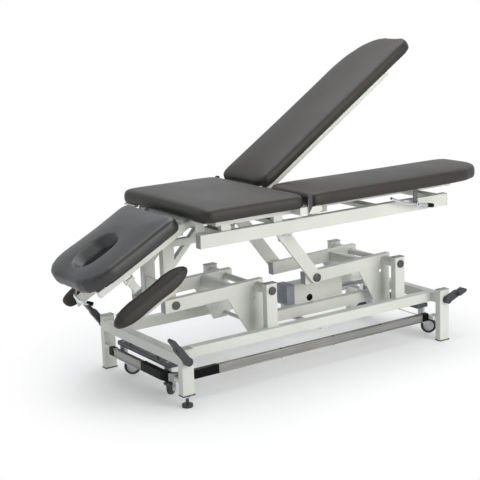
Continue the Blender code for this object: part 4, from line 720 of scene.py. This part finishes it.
# %% [markdown]
# Where a post meets its rail, a weld bead shows under the coat. A bead is a slim barrel laid in the corner, in the
# same coat as the tubes.

# %% Weld beads
bead_z = 0.1953
beads = bmesh.new()
for name in ("lift", "lift_foot"):
    x = joints[name]["pos_m"][0]
    for y in (-POST_Y, POST_Y):
        for way in (-1, 1):
            bead_x = x + way * 0.0255
            barrel(beads, (bead_x, y - 0.013, bead_z), (bead_x, y + 0.013, bead_z), 0.0024, 0.0006, 10)
piece("post_welds", beads, cream_coat, "base")


# %% [markdown]
# The stage is a pale floor that turns to plain white about a metre out, so no horizon shows. Even under the couch
# the floor glows with three tenths of that white. This painted light makes the floor's shadow fainter and adds a
# little light from below, so the shadow stays only softened. The world is white to the camera. Reflections see a
# pale room that is darker on the photographer's side, and everything else a plain grey, so the lamps do the
# modelling.

# %% Floor and world
floor_mesh = bmesh.new()
bmesh.ops.create_circle(floor_mesh, cap_ends=True, segments=64, radius=30.0)
bmesh.ops.translate(floor_mesh, vec=(0, 0, -0.0005), verts=floor_mesh.verts)
mesh = bpy.data.meshes.new("studio_floor")
floor_mesh.to_mesh(mesh)
floor_mesh.free()
studio_floor = bpy.data.objects.new("studio_floor", mesh)
bpy.context.scene.collection.objects.link(studio_floor)
floor_paint, tree, shader, where = start_finish("floor_paint", 0.9)
shader.inputs["Base Color"].default_value = (0.93, 0.93, 0.935, 1)
distance = tree.nodes.new("ShaderNodeVectorMath")
distance.operation = "LENGTH"
tree.links.new(where, distance.inputs[0])
fade = tree.nodes.new("ShaderNodeMapRange")
fade.interpolation_type = "SMOOTHSTEP"
fade.inputs["From Min"].default_value = 0.62
fade.inputs["From Max"].default_value = 1.15
# painted light: three tenths of the white glow stay under the couch and lift its shadow
fade.inputs["To Min"].default_value = 0.3
tree.links.new(distance.outputs["Value"], fade.inputs["Value"])
white = tree.nodes.new("ShaderNodeEmission")
blend = tree.nodes.new("ShaderNodeMixShader")
tree.links.new(fade.outputs["Result"], blend.inputs["Fac"])
tree.links.new(shader.outputs["BSDF"], blend.inputs[1])
tree.links.new(white.outputs["Emission"], blend.inputs[2])
tree.links.new(blend.outputs["Shader"], tree.nodes["Material Output"].inputs["Surface"])
mesh.materials.append(floor_paint)
world = bpy.data.worlds.new("studio")
bpy.context.scene.world = world
world.use_nodes = True
tree = world.node_tree
ambient = tree.nodes["Background"]
ambient.inputs["Color"].default_value = (0.88, 0.96, 1.0, 1)
ambient.inputs["Strength"].default_value = 0.30
plain = tree.nodes.new("ShaderNodeBackground")
plain.inputs["Color"].default_value = (1, 1, 1, 1)
ray = tree.nodes.new("ShaderNodeLightPath")
room = tree.nodes.new("ShaderNodeBackground")
room.inputs["Color"].default_value = (0.93, 0.97, 1.0, 1)
direction = tree.nodes.new("ShaderNodeTexCoord")
split = tree.nodes.new("ShaderNodeSeparateXYZ")
dim = tree.nodes.new("ShaderNodeMapRange")
dim.inputs["From Min"].default_value = -0.8
dim.inputs["From Max"].default_value = 0.1
dim.inputs["To Min"].default_value = 0.35
tree.links.new(direction.outputs["Generated"], split.inputs["Vector"])
tree.links.new(split.outputs["Y"], dim.inputs["Value"])
tree.links.new(dim.outputs["Result"], room.inputs["Strength"])
mirrored = tree.nodes.new("ShaderNodeMixShader")
tree.links.new(ray.outputs["Is Glossy Ray"], mirrored.inputs["Fac"])
tree.links.new(ambient.outputs["Background"], mirrored.inputs[1])
tree.links.new(room.outputs["Background"], mirrored.inputs[2])
seen = tree.nodes.new("ShaderNodeMath")
seen.operation = "MAXIMUM"
tree.links.new(ray.outputs["Is Camera Ray"], seen.inputs[0])
tree.links.new(ray.outputs["Is Transmission Ray"], seen.inputs[1])
mix = tree.nodes.new("ShaderNodeMixShader")
tree.links.new(seen.outputs["Value"], mix.inputs["Fac"])
tree.links.new(mirrored.outputs["Shader"], mix.inputs[1])
tree.links.new(plain.outputs["Background"], mix.inputs[2])
tree.links.new(mix.outputs["Shader"], tree.nodes["World Output"].inputs["Surface"])
print("floor and world ready")


# %% [markdown]
# The photograph has one broad soft light above the couch, another from the camera's side, and a weak cool one
# from the head end. Three area lamps of that size give the same soft shadow under the couch.

# %% Lamps
def soft_lamp(name, at, aim, size, power, colour):
    lamp = bpy.data.lights.new(name, "AREA")
    lamp.shape = "SQUARE"
    lamp.size = size
    lamp.energy = power
    lamp.color = colour
    stand = bpy.data.objects.new(name, lamp)
    stand.location = at
    stand.rotation_mode = "QUATERNION"
    stand.rotation_quaternion = (Vector(aim) - Vector(at)).to_track_quat("-Z", "Y")
    bpy.context.scene.collection.objects.link(stand)


soft_lamp("overhead", (0.3, 0.3, 3.4), (0, 0, 0.3), 3.2, 98, (1.0, 1.0, 1.0))
soft_lamp("camera_side", (1.0, -3.6, 1.6), (0, 0, 0.5), 2.4, 94, (1.0, 0.985, 0.95))
soft_lamp("head_end", (-3.2, -0.4, 1.4), (0, 0, 0.5), 1.6, 4, (0.86, 0.93, 1.0))
print("three lamps")
